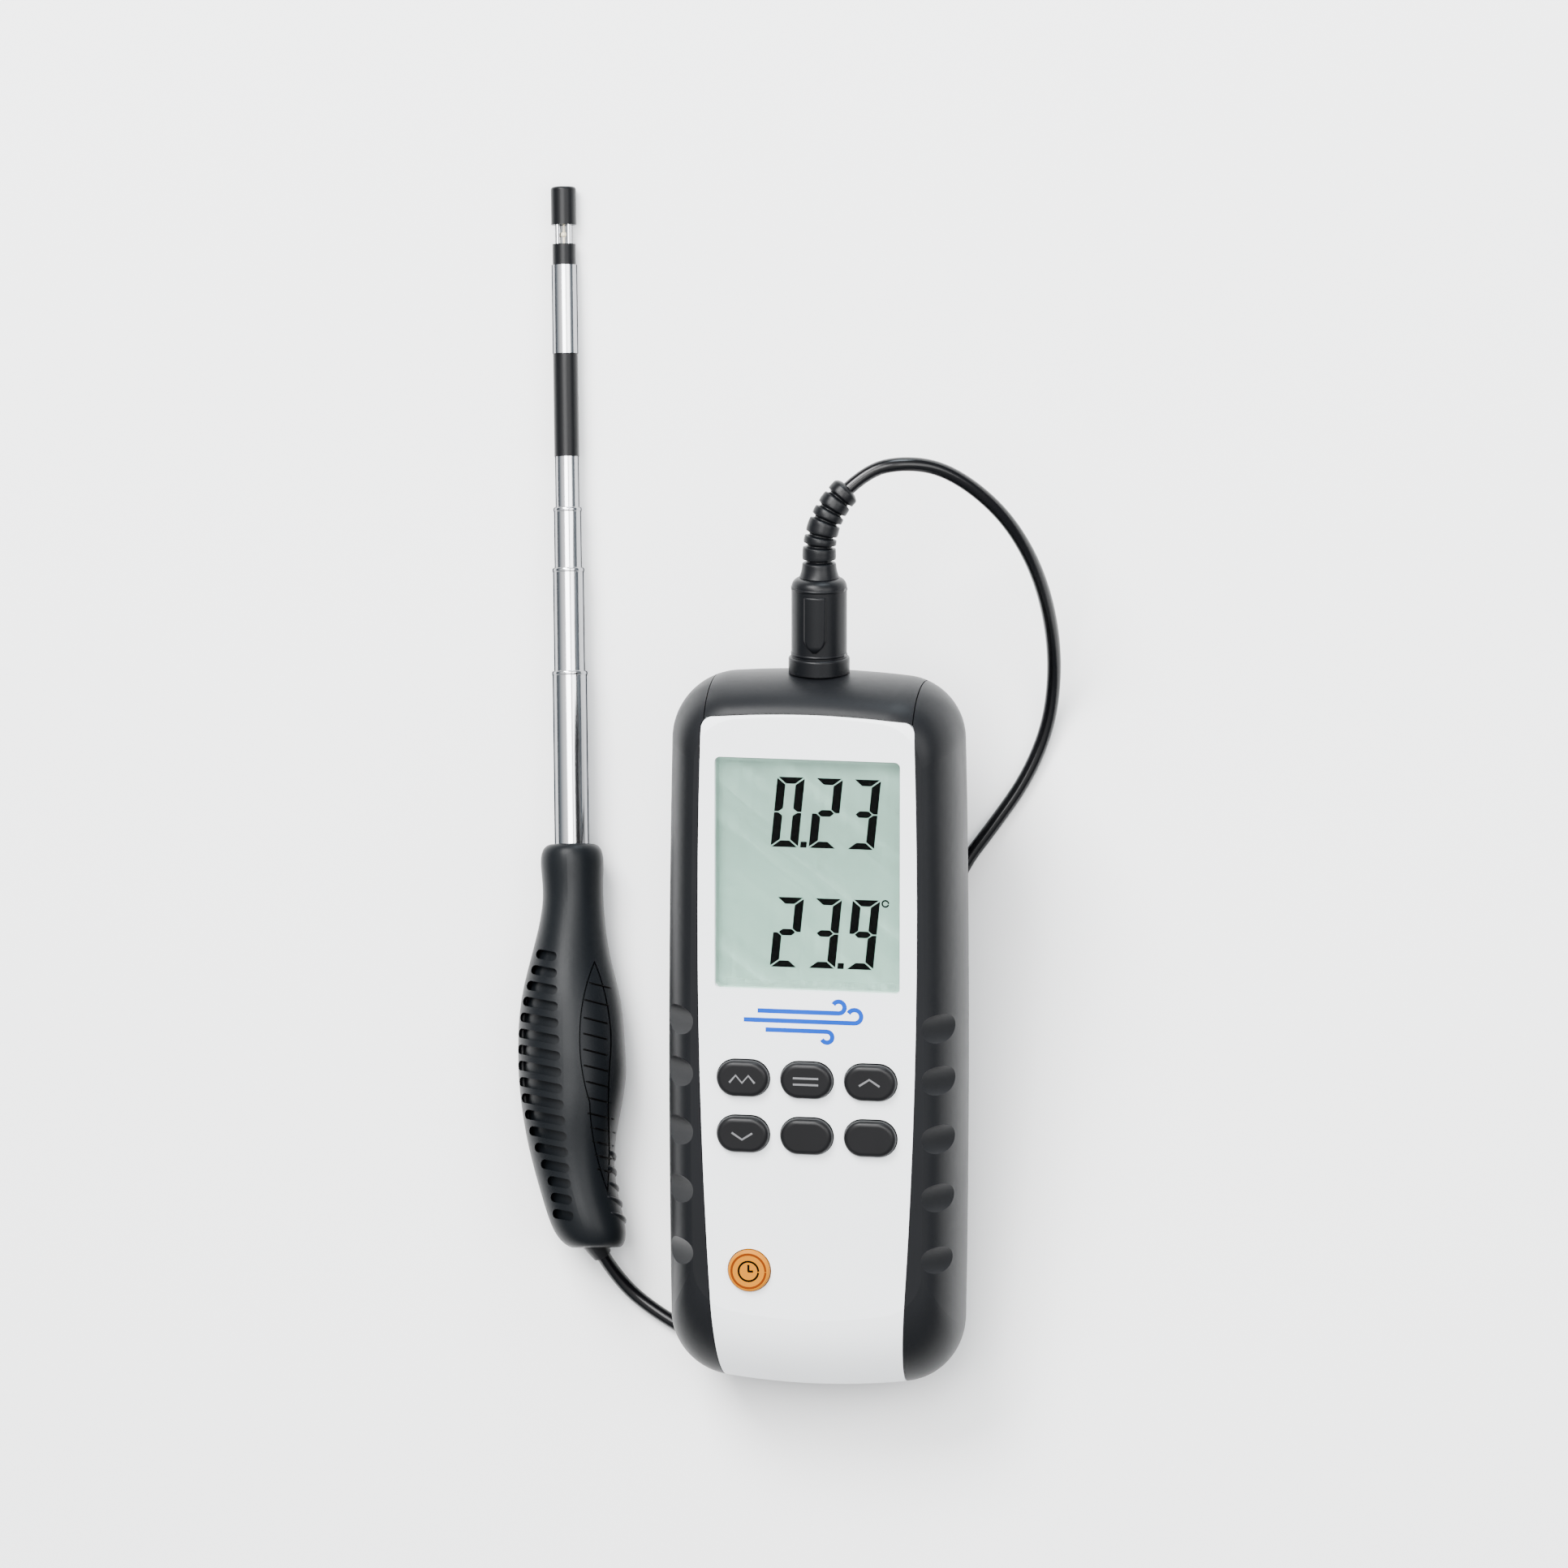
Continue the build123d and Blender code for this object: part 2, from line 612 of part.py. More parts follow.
KEY_NAMES = (
    "upper_left_key",
    "upper_middle_key",
    "upper_right_key",
    "lower_left_key",
    "lower_middle_key",
    "lower_right_key",
)
for name, (x, y) in zip(KEY_NAMES, KEY_PLACES):
    with BuildPart() as key:
        with BuildSketch(METER.offset(KEY_LOW_Z)):
            with Locations((x, y)):
                SlotOverall(KEY_LENGTH, KEY_WIDTH)
        extrude(amount=KEY_TOP_Z - KEY_LOW_Z)
        fillet(key.faces().sort_by(OUTWARD)[-1].edges(), 1.3)
        with BuildSketch(METER.offset(KEY_LOW_Z)):
            with Locations((x, y)):
                SlotOverall(KEY_LENGTH + 2, KEY_WIDTH + 2)
        extrude(amount=FACE_Z - FACE_WALL - KEY_LOW_Z)
    save(key.part, name)

with BuildPart() as power_key:
    with BuildSketch(METER.offset(KEY_LOW_Z)):
        with Locations((POWER_X, POWER_Y)):
            Circle(POWER_RADIUS)
    extrude(amount=POWER_TOP_Z - KEY_LOW_Z)
    fillet(power_key.faces().sort_by(OUTWARD)[-1].edges(), 0.8)
    with BuildSketch(METER.offset(KEY_LOW_Z)):
        with Locations((POWER_X, POWER_Y)):
            Circle(POWER_RADIUS + 1)
    extrude(amount=FACE_Z - FACE_WALL - KEY_LOW_Z)
save(power_key.part, "power_key")

# ---------------------------------------------------------------- socket and plug
# PLUG's own frame: origin at the middle of the socket end, Z out along the plug.
with BuildPart() as socket:
    with BuildSketch(PLUG.offset(-18)):
        Circle(SOCKET_RADIUS)
    extrude(amount=18)
    with BuildSketch(PLUG):
        Circle(NOSE_RADIUS)
    extrude(amount=-15, mode=Mode.SUBTRACT)
save(socket.part, "socket")

with BuildPart() as socket_nut:
    with BuildSketch(PLUG.offset(-8.6)):
        RegularPolygon(8.4, 6)
        Circle(SOCKET_RADIUS, mode=Mode.SUBTRACT)
    extrude(amount=2.6)
save(socket_nut.part, "socket_nut")

with BuildPart() as plug_ring:
    with BuildSketch(PLUG):
        Circle(PLUG_RADIUS + 0.7)
        Circle(NOSE_RADIUS, mode=Mode.SUBTRACT)
    extrude(amount=PLUG_RING)
    fillet(plug_ring.faces().sort_by(ALONG_PLUG)[-1].edges().sort_by(SortBy.LENGTH)[-1], 0.6)
save(plug_ring.part, "plug_ring")

with BuildPart() as plug_body:
    with BuildSketch(PLUG.offset(PLUG_RING)):
        Circle(PLUG_RADIUS)
    extrude(amount=PLUG_LENGTH - PLUG_RING)
    fillet(plug_body.faces().sort_by(ALONG_PLUG)[-1].edges(), 2.4)
    with BuildSketch(PLUG.offset(-NOSE_LENGTH)):
        Circle(NOSE_RADIUS)
    extrude(amount=NOSE_LENGTH + PLUG_RING)
    with BuildSketch(PLUG.offset(-NOSE_LENGTH)):
        Circle(NOSE_RADIUS - 0.8)
    extrude(amount=6, mode=Mode.SUBTRACT)
save(plug_body.part, "plug_body")

with BuildPart() as plug_pins:
    with BuildSketch(PLUG.offset(-NOSE_LENGTH)):
        with PolarLocations(2.3, 4, start_angle=45):
            Circle(0.5)
    extrude(amount=6)
save(plug_pins.part, "plug_pins")

# The boot bends to the right and sags: the bend's own direction is square to the plug.
SIDEWAYS = Vector(1, 0, 0) * cos(radians(BOOT_SAG)) - METER.z_dir * sin(radians(BOOT_SAG))
AHEAD = METER.y_dir
BOOT_START = PLUG.origin + AHEAD * PLUG_LENGTH
BOOT_TURN = BOOT_START + AHEAD * BOOT_STRAIGHT
BOOT_MIDDLE = BOOT_TURN + AHEAD * (BOOT_BEND_RADIUS * sin(radians(BOOT_BEND / 2)))
BOOT_MIDDLE += SIDEWAYS * (BOOT_BEND_RADIUS * (1 - cos(radians(BOOT_BEND / 2))))
BOOT_END = BOOT_TURN + AHEAD * (BOOT_BEND_RADIUS * sin(radians(BOOT_BEND)))
BOOT_END += SIDEWAYS * (BOOT_BEND_RADIUS * (1 - cos(radians(BOOT_BEND))))
EXIT_WAY = AHEAD * cos(radians(BOOT_BEND)) + SIDEWAYS * sin(radians(BOOT_BEND))

with BuildPart() as plug_boot:
    with BuildLine() as boot_path:
        stem_line = Line(BOOT_START, BOOT_TURN)
        ThreePointArc(stem_line @ 1, BOOT_MIDDLE, BOOT_END)
    with BuildSketch(Plane(BOOT_START, (1, 0, 0), AHEAD)):
        Circle(BOOT_RADIUS)
    sweep(path=boot_path.line)
save(plug_boot.part, "plug_boot")
print("boot end", BOOT_END, "way", EXIT_WAY)


# ---------------------------------------------------------------- sensor cable
def route(points):
    """Rounds a route's corners as far as its runs allow, and prints the radii."""
    spots = [Vector(*point) for point in points]
    radii = []
    for before, here, after in zip(spots, spots[1:], spots[2:]):
        arriving, leaving = here - before, after - here
        half_turn = radians(arriving.get_angle(leaving)) / 2
        shorter = min(arriving.length, leaving.length)
        radii.append(0.45 * shorter / tan(half_turn))
    print("radii", [round(radius, 1) for radius in radii])
    with BuildLine():
        line = FilletPolyline(*spots, radius=radii)
    return line


def cable(points, name):
    """A plain tube along a route."""
    line = route(points)
    with BuildPart() as tube:
        with BuildSketch(Plane(line @ 0, z_dir=line % 0)):
            Circle(CABLE_DIAMETER / 2)
        sweep(path=line)
    section = pi * (CABLE_DIAMETER / 2) ** 2
    print(name, "volume", round(tube.part.volume), "expected", round(section * line.length))
    print(name, "length", round(line.length, 1))
    save(tube.part, name)


def beside_meter(points):
    """Moves points given from the meter's lower end to the row frame."""
    return [(x + METER_X, y + METER_Y, z) for x, y, z in points]


LIE = CABLE_DIAMETER / 2  # the cable's centre when it lies on the table
AFTER_BOOT = BOOT_END + EXIT_WAY * 7
UPPER_ROUTE = [tuple(BOOT_END), tuple(AFTER_BOOT)] + beside_meter(
    [
        (19.6, 226.9, 62.0),
        (28.0, 226.3, 57.5),
        (36.0, 221.9, 52.0),
        (43.4, 214.8, 45.0),
        (48.4, 206.0, 36.5),
        (51.2, 196.5, 27.0),
        (52.3, 186.0, 17.0),
        (51.9, 175.0, 8.5),
        (49.8, 162.5, 3.0),
        (44.6, 149.5, LIE),
        (36.6, 137.5, LIE),
        (28.6, 126.5, LIE),
        (24.6, 113.5, LIE),
        (COIL_SIDE, COIL_TOP_Y + 10.0, LIE),
        (COIL_SIDE, COIL_TOP_Y, LIE),
    ]
)
LOWER_ROUTE = beside_meter(
    [
        (COIL_SIDE, COIL_LOW_Y, LIE),
        (COIL_SIDE, COIL_LOW_Y - 11.0, LIE),
        (18.0, 25.0, LIE),
        (4.0, 13.0, LIE),
        (-13.0, 5.8, LIE),
        (-31.0, 4.2, LIE),
        (-45.8, 12.0, LIE),
        (-54.6, 19.2, 3.6),
        (-58.4, 26.0, 8.6),
    ]
)
cable(UPPER_ROUTE, "upper_cable")
cable(LOWER_ROUTE, "lower_cable")

COIL = Plane((COIL_X, COIL_Y, 0))
with BuildPart() as cable_coil:
    with BuildSketch(Plane(COIL.origin, (1, 0, 0), (0, -1, 0))):
        with Locations((COIL_RADIUS, TIE_THICKNESS + COIL_HEIGHT / 2)):
            RectangleRounded(2 * COIL_HALF_WIDTH, COIL_HEIGHT, 1.5)
    revolve(axis=Axis(COIL.origin, (0, 0, 1)))
    with BuildSketch(Plane((METER_X + COIL_SIDE, METER_Y + COIL_LOW_Y, LIE), (1, 0, 0), (0, 1, 0))):
        Circle(LIE)
    extrude(amount=COIL_TOP_Y - COIL_LOW_Y)
save(cable_coil.part, "cable_coil")

with BuildPart() as coil_tie:
    with BuildSketch(Plane((COIL_X - COIL_RADIUS, COIL_Y, 0), (1, 0, 0), (0, -1, 0))):
        with Locations((0, TIE_THICKNESS + COIL_HEIGHT / 2)):
            RectangleRounded(
                2 * (COIL_HALF_WIDTH + TIE_THICKNESS), COIL_HEIGHT + 2 * TIE_THICKNESS, 2.0
            )
    extrude(amount=TIE_HALF_WIDTH, both=True)
    add(cable_coil.part, mode=Mode.SUBTRACT)
save(coil_tie.part, "coil_tie")

# ---------------------------------------------------------------- probe: handle
# PROBE's own frame: Z runs from the tip back along the probe, X to its right, Y up.
# Each handle section: distance from the tip, sideways offset, half width, half height.
HANDLE_SECTIONS = (
    (166.3, 0.0, 5.6, 5.6),
    (167.6, 0.0, 7.3, 7.1),
    (170.0, 0.0, 7.9, 7.6),
    (183.0, 0.0, 7.9, 7.8),
    (191.0, -0.5, 9.2, 8.9),
    (199.0, -0.8, 11.1, 10.4),
    (208.0, -0.8, 12.9, 11.9),
    (220.0, -0.7, 13.6, 12.6),
    (232.0, -0.9, 12.7, 12.2),
    (240.0, -1.1, 11.3, 11.3),
    (248.5, -0.4, 10.1, 10.2),
    (256.5, 1.3, 9.6, 9.6),
    (262.0, 2.8, 9.3, 9.1),
    (266.0, 4.0, 8.2, 8.0),
    (268.0, 4.8, 6.2, 6.2),
)


def handle_body(skin):
    """The handle's outer shape, drawn in by an amount."""
    with BuildPart() as body:
        for distance, aside, half_width, half_height in HANDLE_SECTIONS:
            with BuildSketch(PROBE.offset(distance)):
                with Locations((aside, 0)):
                    Ellipse(half_width - skin, half_height - skin)
        loft()
    return body.part


def above_probe(height):
    """A plane over the probe, seen from above: X to its right, Y towards the tip."""
    return Plane(PROBE.origin + PROBE.y_dir * height, PROBE.x_dir, PROBE.y_dir)


GLAND_END = Vector(*LOWER_ROUTE[-1])
GLAND_WAY = (GLAND_END - Vector(*LOWER_ROUTE[-2])).normalized()
HANDLE = handle_body(0)
UNDER_PAD = handle_body(PAD_THICKNESS)
UNDER_LOUVRES = handle_body(LOUVRE_DEPTH)
CORE = handle_body(GRIP_SKIN)

with BuildPart() as handle_gland:
    with BuildSketch(Plane(GLAND_END, z_dir=GLAND_WAY)):
        Circle(2.5)
    with BuildSketch(Plane(GLAND_END + GLAND_WAY * GLAND_LENGTH, z_dir=GLAND_WAY)):
        Circle(3.6)
    loft()
save(handle_gland.part, "handle_gland")


def pad_bed(inset):
    """The grip pad's outline cut down into the handle, drawn in by an amount."""
    with BuildPart() as bed:
        with BuildSketch(above_probe(0)):
            with BuildLine():
                inner = ThreePointArc((6.6, -196.0), (3.4, -212.0), (5.4, -232.0))
                ThreePointArc(inner @ 1, (6.6, -246.0), (9.0, -255.0))
                outer = ThreePointArc((9.0, -255.0), (9.4, -240.0), (10.4, -222.0))
                ThreePointArc(outer @ 1, (9.6, -206.0), (6.6, -196.0))
            make_face()
            if inset:
                offset(amount=-inset)
        extrude(amount=20)
        add(HANDLE, mode=Mode.INTERSECT)
        add(UNDER_PAD, mode=Mode.SUBTRACT)
    return bed.part


save(pad_bed(PAD_GAP), "grip_pad")

with BuildPart() as louvres:
    for number in range(LOUVRES):
        share = number / (LOUVRES - 1)
        along = LOUVRE_FIRST + (LOUVRE_LAST - LOUVRE_FIRST) * share
        start = LOUVRE_INNER + 3.4 * share
        reach = LOUVRE_SHORT + LOUVRE_LONGER * sin(pi * min(1.0, share * 1.12))
        with BuildSketch(above_probe(0)):
            with Locations(Location((start - reach / 2, -along, 0), (0, 0, LOUVRE_SLANT))):
                SlotOverall(reach, LOUVRE_HEIGHT)
        extrude(amount=20, both=True)

with BuildPart() as slots:
    add(HANDLE)
    add(UNDER_LOUVRES, mode=Mode.SUBTRACT)
    add(louvres.part, mode=Mode.INTERSECT)

with BuildPart() as handle_grip:
    add(HANDLE)
    add(CORE, mode=Mode.SUBTRACT)
    add(pad_bed(0), mode=Mode.SUBTRACT)
    add(slots.part, mode=Mode.SUBTRACT)
    with BuildSketch(PROBE.offset(HANDLE_FRONT - 1)):
        Circle(TUBE_RADII[0])
    extrude(amount=10, mode=Mode.SUBTRACT)
    add(handle_gland.part, mode=Mode.SUBTRACT)
save(handle_grip.part, "handle_grip")

for name, keep in (("left_handle_core", Keep.BOTTOM), ("right_handle_core", Keep.TOP)):
    with BuildPart() as half:
        add(CORE)
        with BuildSketch(PROBE.offset(HANDLE_FRONT - 1)):
            Circle(TUBE_RADII[0])
        extrude(amount=TUBE_BACKS[0] - HANDLE_FRONT + 1, mode=Mode.SUBTRACT)
        with BuildSketch(PROBE.offset(TUBE_BACKS[0])):
            Circle(3.0)
        extrude(amount=10, mode=Mode.SUBTRACT)
        add(handle_gland.part, mode=Mode.SUBTRACT)
        split(bisect_by=Plane(PROBE.origin, PROBE.y_dir, PROBE.x_dir), keep=keep)
    save(half.part, name)

# ---------------------------------------------------------------- probe: telescopic tubes
for number in range(4):
    front, back, radius = TUBE_FRONTS[number], TUBE_BACKS[number], TUBE_RADII[number]
    with BuildPart() as tube:
        with BuildSketch(PROBE.offset(front)):
            Circle(radius)
            Circle(radius - TUBE_WALL, mode=Mode.SUBTRACT)
        extrude(amount=back - front)
        if number < 3:
            with BuildSketch(PROBE.offset(front)):
                Circle(radius)
                Circle(TUBE_RADII[number + 1] + SLIDING_GAP, mode=Mode.SUBTRACT)
            extrude(amount=LIP_LENGTH)
    save(tube.part, f"tube_{number + 1}")

for number in range(1, 4):
    back, bore = TUBE_BACKS[number], TUBE_RADII[number] - TUBE_WALL
    with BuildPart() as bush:
        with BuildSketch(PROBE.offset(back)):
            Circle(TUBE_RADII[number - 1] - TUBE_WALL - 0.05)
        extrude(amount=BUSH_FLANGE)
        with BuildSketch(PROBE.offset(back - BUSH_SPIGOT)):
            Circle(bore)
        extrude(amount=BUSH_SPIGOT)
        with BuildSketch(PROBE.offset(back - BUSH_SPIGOT)):
            Circle(WIRE_PASSAGE)
        extrude(amount=BUSH_SPIGOT + BUSH_FLANGE, mode=Mode.SUBTRACT)
    save(bush.part, f"tube_bush_{number + 1}")

# ---------------------------------------------------------------- probe: sensor head
with BuildPart() as stem:
    with BuildSketch(PROBE.offset(STEM_FRONT)):
        Circle(STEM_RADIUS)
    extrude(amount=TUBE_FRONTS[3] - STEM_FRONT)
    with BuildSketch(PROBE.offset(TUBE_FRONTS[3])):
        Circle(TUBE_RADII[3] - TUBE_WALL)
    extrude(amount=5)
save(stem.part, "stem")

with BuildPart() as sensor_carrier:
    with BuildSketch(PROBE.offset(COLLAR_FRONT)):
        Circle(COLLAR_RADIUS)
    extrude(amount=STEM_FRONT - COLLAR_FRONT)
save(sensor_carrier.part, "sensor_carrier")

with BuildPart() as guard_sleeve:
    with BuildSketch(PROBE.offset(SLEEVE_FRONT)):
        Circle(SLEEVE_RADIUS)
        Circle(COLLAR_RADIUS + SLIDING_GAP, mode=Mode.SUBTRACT)
    extrude(amount=STEM_FRONT - SLEEVE_FRONT)
save(guard_sleeve.part, "guard_sleeve")

with BuildPart() as sensor_posts:
    with BuildSketch(PROBE.offset(CAP_LENGTH)):
        with PolarLocations(POST_CIRCLE, 4, start_angle=45):
            Circle(POST_RADIUS)
    extrude(amount=COLLAR_FRONT - CAP_LENGTH)
save(sensor_posts.part, "sensor_posts")

with BuildPart() as velocity_sensor:
    with BuildSketch(PROBE.offset(CAP_LENGTH)):
        Circle(0.25)
    extrude(amount=COLLAR_FRONT - CAP_LENGTH)
    with Locations(PROBE.offset((CAP_LENGTH + COLLAR_FRONT) / 2)):
        Sphere(0.75)
save(velocity_sensor.part, "velocity_sensor")

with BuildPart() as tip_cap:
    with BuildSketch(PROBE):
        Circle(CAP_RADIUS)
    extrude(amount=CAP_LENGTH)
    fillet(tip_cap.edges().filter_by(GeomType.CIRCLE).sort_by(Axis(PROBE.origin, PROBE.z_dir))[0], 0.7)
save(tip_cap.part, "tip_cap")
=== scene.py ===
"""Looks for the hot-wire anemometer: camera, cable, materials and fine detail around its CAD frame."""

import json
from math import cos, pi, radians, sin, sqrt, tau

import bmesh
import bpy
from mathutils import Matrix, Vector


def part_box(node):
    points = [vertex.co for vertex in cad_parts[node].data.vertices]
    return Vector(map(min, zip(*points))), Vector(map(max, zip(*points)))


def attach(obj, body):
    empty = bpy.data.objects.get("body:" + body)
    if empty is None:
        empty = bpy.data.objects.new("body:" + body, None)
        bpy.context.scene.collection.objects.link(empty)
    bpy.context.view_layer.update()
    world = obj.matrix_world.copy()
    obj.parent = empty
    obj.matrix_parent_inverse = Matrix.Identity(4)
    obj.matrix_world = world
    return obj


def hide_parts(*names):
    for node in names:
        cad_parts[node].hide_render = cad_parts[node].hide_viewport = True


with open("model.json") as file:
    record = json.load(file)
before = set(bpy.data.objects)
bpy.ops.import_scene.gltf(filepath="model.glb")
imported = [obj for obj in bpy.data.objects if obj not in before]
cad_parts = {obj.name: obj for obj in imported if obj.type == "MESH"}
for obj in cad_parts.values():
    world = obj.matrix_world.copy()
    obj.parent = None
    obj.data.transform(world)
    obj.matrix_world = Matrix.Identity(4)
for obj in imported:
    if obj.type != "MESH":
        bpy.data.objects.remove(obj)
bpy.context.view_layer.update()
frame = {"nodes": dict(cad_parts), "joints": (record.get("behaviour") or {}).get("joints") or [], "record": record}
NODES = frame["nodes"]
JOINTS = {joint["name"]: joint for joint in frame["joints"]}
ROOT = "meter_and_handle"
MM = 0.001

# ---------------------------------------------------------------- frames, from the joints
# The meter's own frame: X right, Y towards the socket, Z out of its face, in millimetres.
METER_X = Vector((1, 0, 0))
METER_Z = -Vector(JOINTS["power_key_press"]["axis"]).normalized()
METER_Y = METER_Z.cross(METER_X)
HINGE_Y, HINGE_Z = 134.0, 2.6
METER_ORIGIN = Vector(JOINTS["stand_hinge"]["pos_m"])
METER_ORIGIN -= (METER_Y * HINGE_Y + METER_Z * HINGE_Z) * MM
FACE_Z = 36.0
GLASS_TOP_Z = 32.6
PLUG_AXIS_Z = 18.0
METER_LENGTH = 182.0

# The probe's own frame: Z from the tip back along the probe, X to its right, Y up.
PROBE_Z = -Vector(JOINTS["section_4_slide"]["axis"]).normalized()
PROBE_X = Vector((0, 0, 1)).cross(PROBE_Z).normalized()
PROBE_Y = PROBE_Z.cross(PROBE_X)
CAP_LENGTH = 9.6


def box_middle(node):
    """The middle of a CAD node's box."""
    low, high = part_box(node)
    return (low + high) / 2


PROBE_TIP = box_middle("tip_cap") - PROBE_Z * CAP_LENGTH / 2 * MM


def on_meter(x, y, z):
    """A point given in the meter's own frame, in millimetres."""
    return METER_ORIGIN + (METER_X * x + METER_Y * y + METER_Z * z) * MM


def on_probe(x, y, z):
    """A point given in the probe's own frame, in millimetres."""
    return PROBE_TIP + (PROBE_X * x + PROBE_Y * y + PROBE_Z * z) * MM


def beside_meter(points):
    """Points given flat on the table from the meter's lower end, in millimetres."""
    start = Vector((METER_ORIGIN.x, METER_ORIGIN.y, 0))
    return [start + Vector(point) * MM for point in points]


# ---------------------------------------------------------------- camera
VIEW_RIGHT = radians(9.4)  # how far the camera stands to the meter's right
VIEW_ROLL = radians(2.0)
VIEW_DISTANCE = 5.0
VIEW_WIDTH = 0.394  # what the picture spans at the object
SENSOR_WIDTH = 36.0
VIEW_MIDDLE = Vector((METER_ORIGIN.x - 0.0142, METER_ORIGIN.y + 0.1460, 0.020))


def photo_camera():
    """The camera that sees the object as the photograph does."""
    back = Vector((sin(VIEW_RIGHT), 0, cos(VIEW_RIGHT)))
    level_right = Vector((cos(VIEW_RIGHT), 0, -sin(VIEW_RIGHT)))
    level_up = Vector((0, 1, 0))
    right = level_right * cos(VIEW_ROLL) + level_up * sin(VIEW_ROLL)
    up = level_up * cos(VIEW_ROLL) - level_right * sin(VIEW_ROLL)
    data = bpy.data.cameras.new("camera")
    data.sensor_width = SENSOR_WIDTH
    data.lens = SENSOR_WIDTH * VIEW_DISTANCE / VIEW_WIDTH
    made = bpy.data.objects.new("camera", data)
    bpy.context.scene.collection.objects.link(made)
    turn = Matrix((right, up, back)).transposed().to_4x4()
    made.matrix_world = Matrix.Translation(VIEW_MIDDLE + back * VIEW_DISTANCE) @ turn
    return made


bpy.context.scene.camera = photo_camera()


# ---------------------------------------------------------------- materials
def surface(name, color, roughness, metallic=0.0, grain=900.0, bump=0.05, depth=0.02, mottle=0.06,
            coat=0.0, patch=45.0, shine=0.5):
    """A shaded surface: its colour and gloss vary softly, and fine grain stands out of it.

    grain and patch are cells per metre, bump is a strength and depth its height in millimetres.
    shine is how strongly the surface reflects next to an ordinary plastic's 0.5.
    """
    material = bpy.data.materials.new(name)
    material.use_nodes = True
    nodes, links = material.node_tree.nodes, material.node_tree.links
    shader = nodes["Principled BSDF"]
    place = nodes.new("ShaderNodeTexCoord")
    broad = nodes.new("ShaderNodeTexNoise")
    broad.inputs["Scale"].default_value = patch
    broad.inputs["Detail"].default_value = 6.0
    fine = nodes.new("ShaderNodeTexNoise")
    fine.inputs["Scale"].default_value = grain
    fine.inputs["Detail"].default_value = 3.0
    ramp = nodes.new("ShaderNodeValToRGB")
    dark = [channel * (1 - mottle) for channel in color]
    light = [min(1.0, channel * (1 + mottle)) for channel in color]
    ramp.color_ramp.elements[0].position = 0.3
    ramp.color_ramp.elements[0].color = (*dark, 1)
    ramp.color_ramp.elements[1].position = 0.7
    ramp.color_ramp.elements[1].color = (*light, 1)
    gloss = nodes.new("ShaderNodeMapRange")
    gloss.inputs["To Min"].default_value = max(0.02, roughness * 0.85)
    gloss.inputs["To Max"].default_value = min(1.0, roughness * 1.15)
    relief = nodes.new("ShaderNodeBump")
    relief.inputs["Strength"].default_value = bump
    relief.inputs["Distance"].default_value = depth * MM
    for texture in (broad, fine):
        links.new(place.outputs["Object"], texture.inputs["Vector"])
    links.new(broad.outputs["Fac"], ramp.inputs["Fac"])
    links.new(ramp.outputs["Color"], shader.inputs["Base Color"])
    links.new(broad.outputs["Fac"], gloss.inputs["Value"])
    links.new(gloss.outputs["Result"], shader.inputs["Roughness"])
    links.new(fine.outputs["Fac"], relief.inputs["Height"])
    links.new(relief.outputs["Normal"], shader.inputs["Normal"])
    shader.inputs["Metallic"].default_value = metallic
    shader.inputs["Specular IOR Level"].default_value = shine
    shader.inputs["Coat Weight"].default_value = coat
    shader.inputs["Coat Roughness"].default_value = 0.08
    return material


def polished_tube():
    """Polished steel with painted reflection stripes in its colour, and painted shade that darkens it where its
    side turns away from the eye.
    """
    material = surface(
        "polished_tube", (0.5, 0.5, 0.5), 0.15, metallic=1.0, patch=60.0, bump=0.004
    )
    nodes, links = material.node_tree.nodes, material.node_tree.links
    facing = nodes.new("ShaderNodeLayerWeight")
    ramp = nodes.new("ShaderNodeValToRGB")
    # painted reflection and shade: the colour is light where the tube faces the eye, then a dark stripe, a lighter
    # band and dark edges
    painted_reflection_stops = ((0.0, 0.62), (0.10, 0.60), (0.30, 0.33), (0.55, 0.42), (0.72, 0.10))
    while len(ramp.color_ramp.elements) < len(painted_reflection_stops):
        ramp.color_ramp.elements.new(0.5)
    for element, (position, shade) in zip(ramp.color_ramp.elements, painted_reflection_stops):
        element.position = position
        element.color = (shade, shade * 1.01, shade * 1.035, 1)
    nodes["Principled BSDF"].inputs["Specular Tint"].default_value = (0.12, 0.13, 0.15, 1)
    grain = nodes.new("ShaderNodeMix")
    grain.data_type = "RGBA"
    grain.blend_type = "MULTIPLY"
    grain.inputs["Factor"].default_value = 0.08
    links.new(facing.outputs["Facing"], ramp.inputs["Fac"])
    links.new(ramp.outputs["Color"], grain.inputs["A"])
    links.new(nodes["Noise Texture"].outputs["Fac"], grain.inputs["B"])
    links.new(grain.outputs["Result"], nodes["Principled BSDF"].inputs["Base Color"])
    return material


def clear_window():
    """A clear hard window: see-through, with a sharp reflection at a slant."""
    material = bpy.data.materials.new("clear_window")
    material.use_nodes = True
    nodes, links = material.node_tree.nodes, material.node_tree.links
    nodes.remove(nodes["Principled BSDF"])
    through = nodes.new("ShaderNodeBsdfTransparent")
    shine = nodes.new("ShaderNodeBsdfGlossy")
    shine.inputs["Roughness"].default_value = 0.05
    slant = nodes.new("ShaderNodeFresnel")
    slant.inputs["IOR"].default_value = 1.12
    smudge = nodes.new("ShaderNodeTexNoise")
    smudge.inputs["Scale"].default_value = 40.0
    tint = nodes.new("ShaderNodeMix")
    tint.data_type = "RGBA"
    tint.inputs["A"].default_value = (0.95, 0.98, 0.965, 1)
    tint.inputs["B"].default_value = (0.985, 1.0, 0.99, 1)
    both = nodes.new("ShaderNodeMixShader")
    links.new(smudge.outputs["Fac"], tint.inputs["Factor"])
    links.new(tint.outputs["Result"], through.inputs["Color"])
    links.new(slant.outputs["Fac"], both.inputs["Fac"])
    links.new(through.outputs["BSDF"], both.inputs[1])
    links.new(shine.outputs["BSDF"], both.inputs[2])
    links.new(both.outputs["Shader"], nodes["Material Output"].inputs["Surface"])
    return material


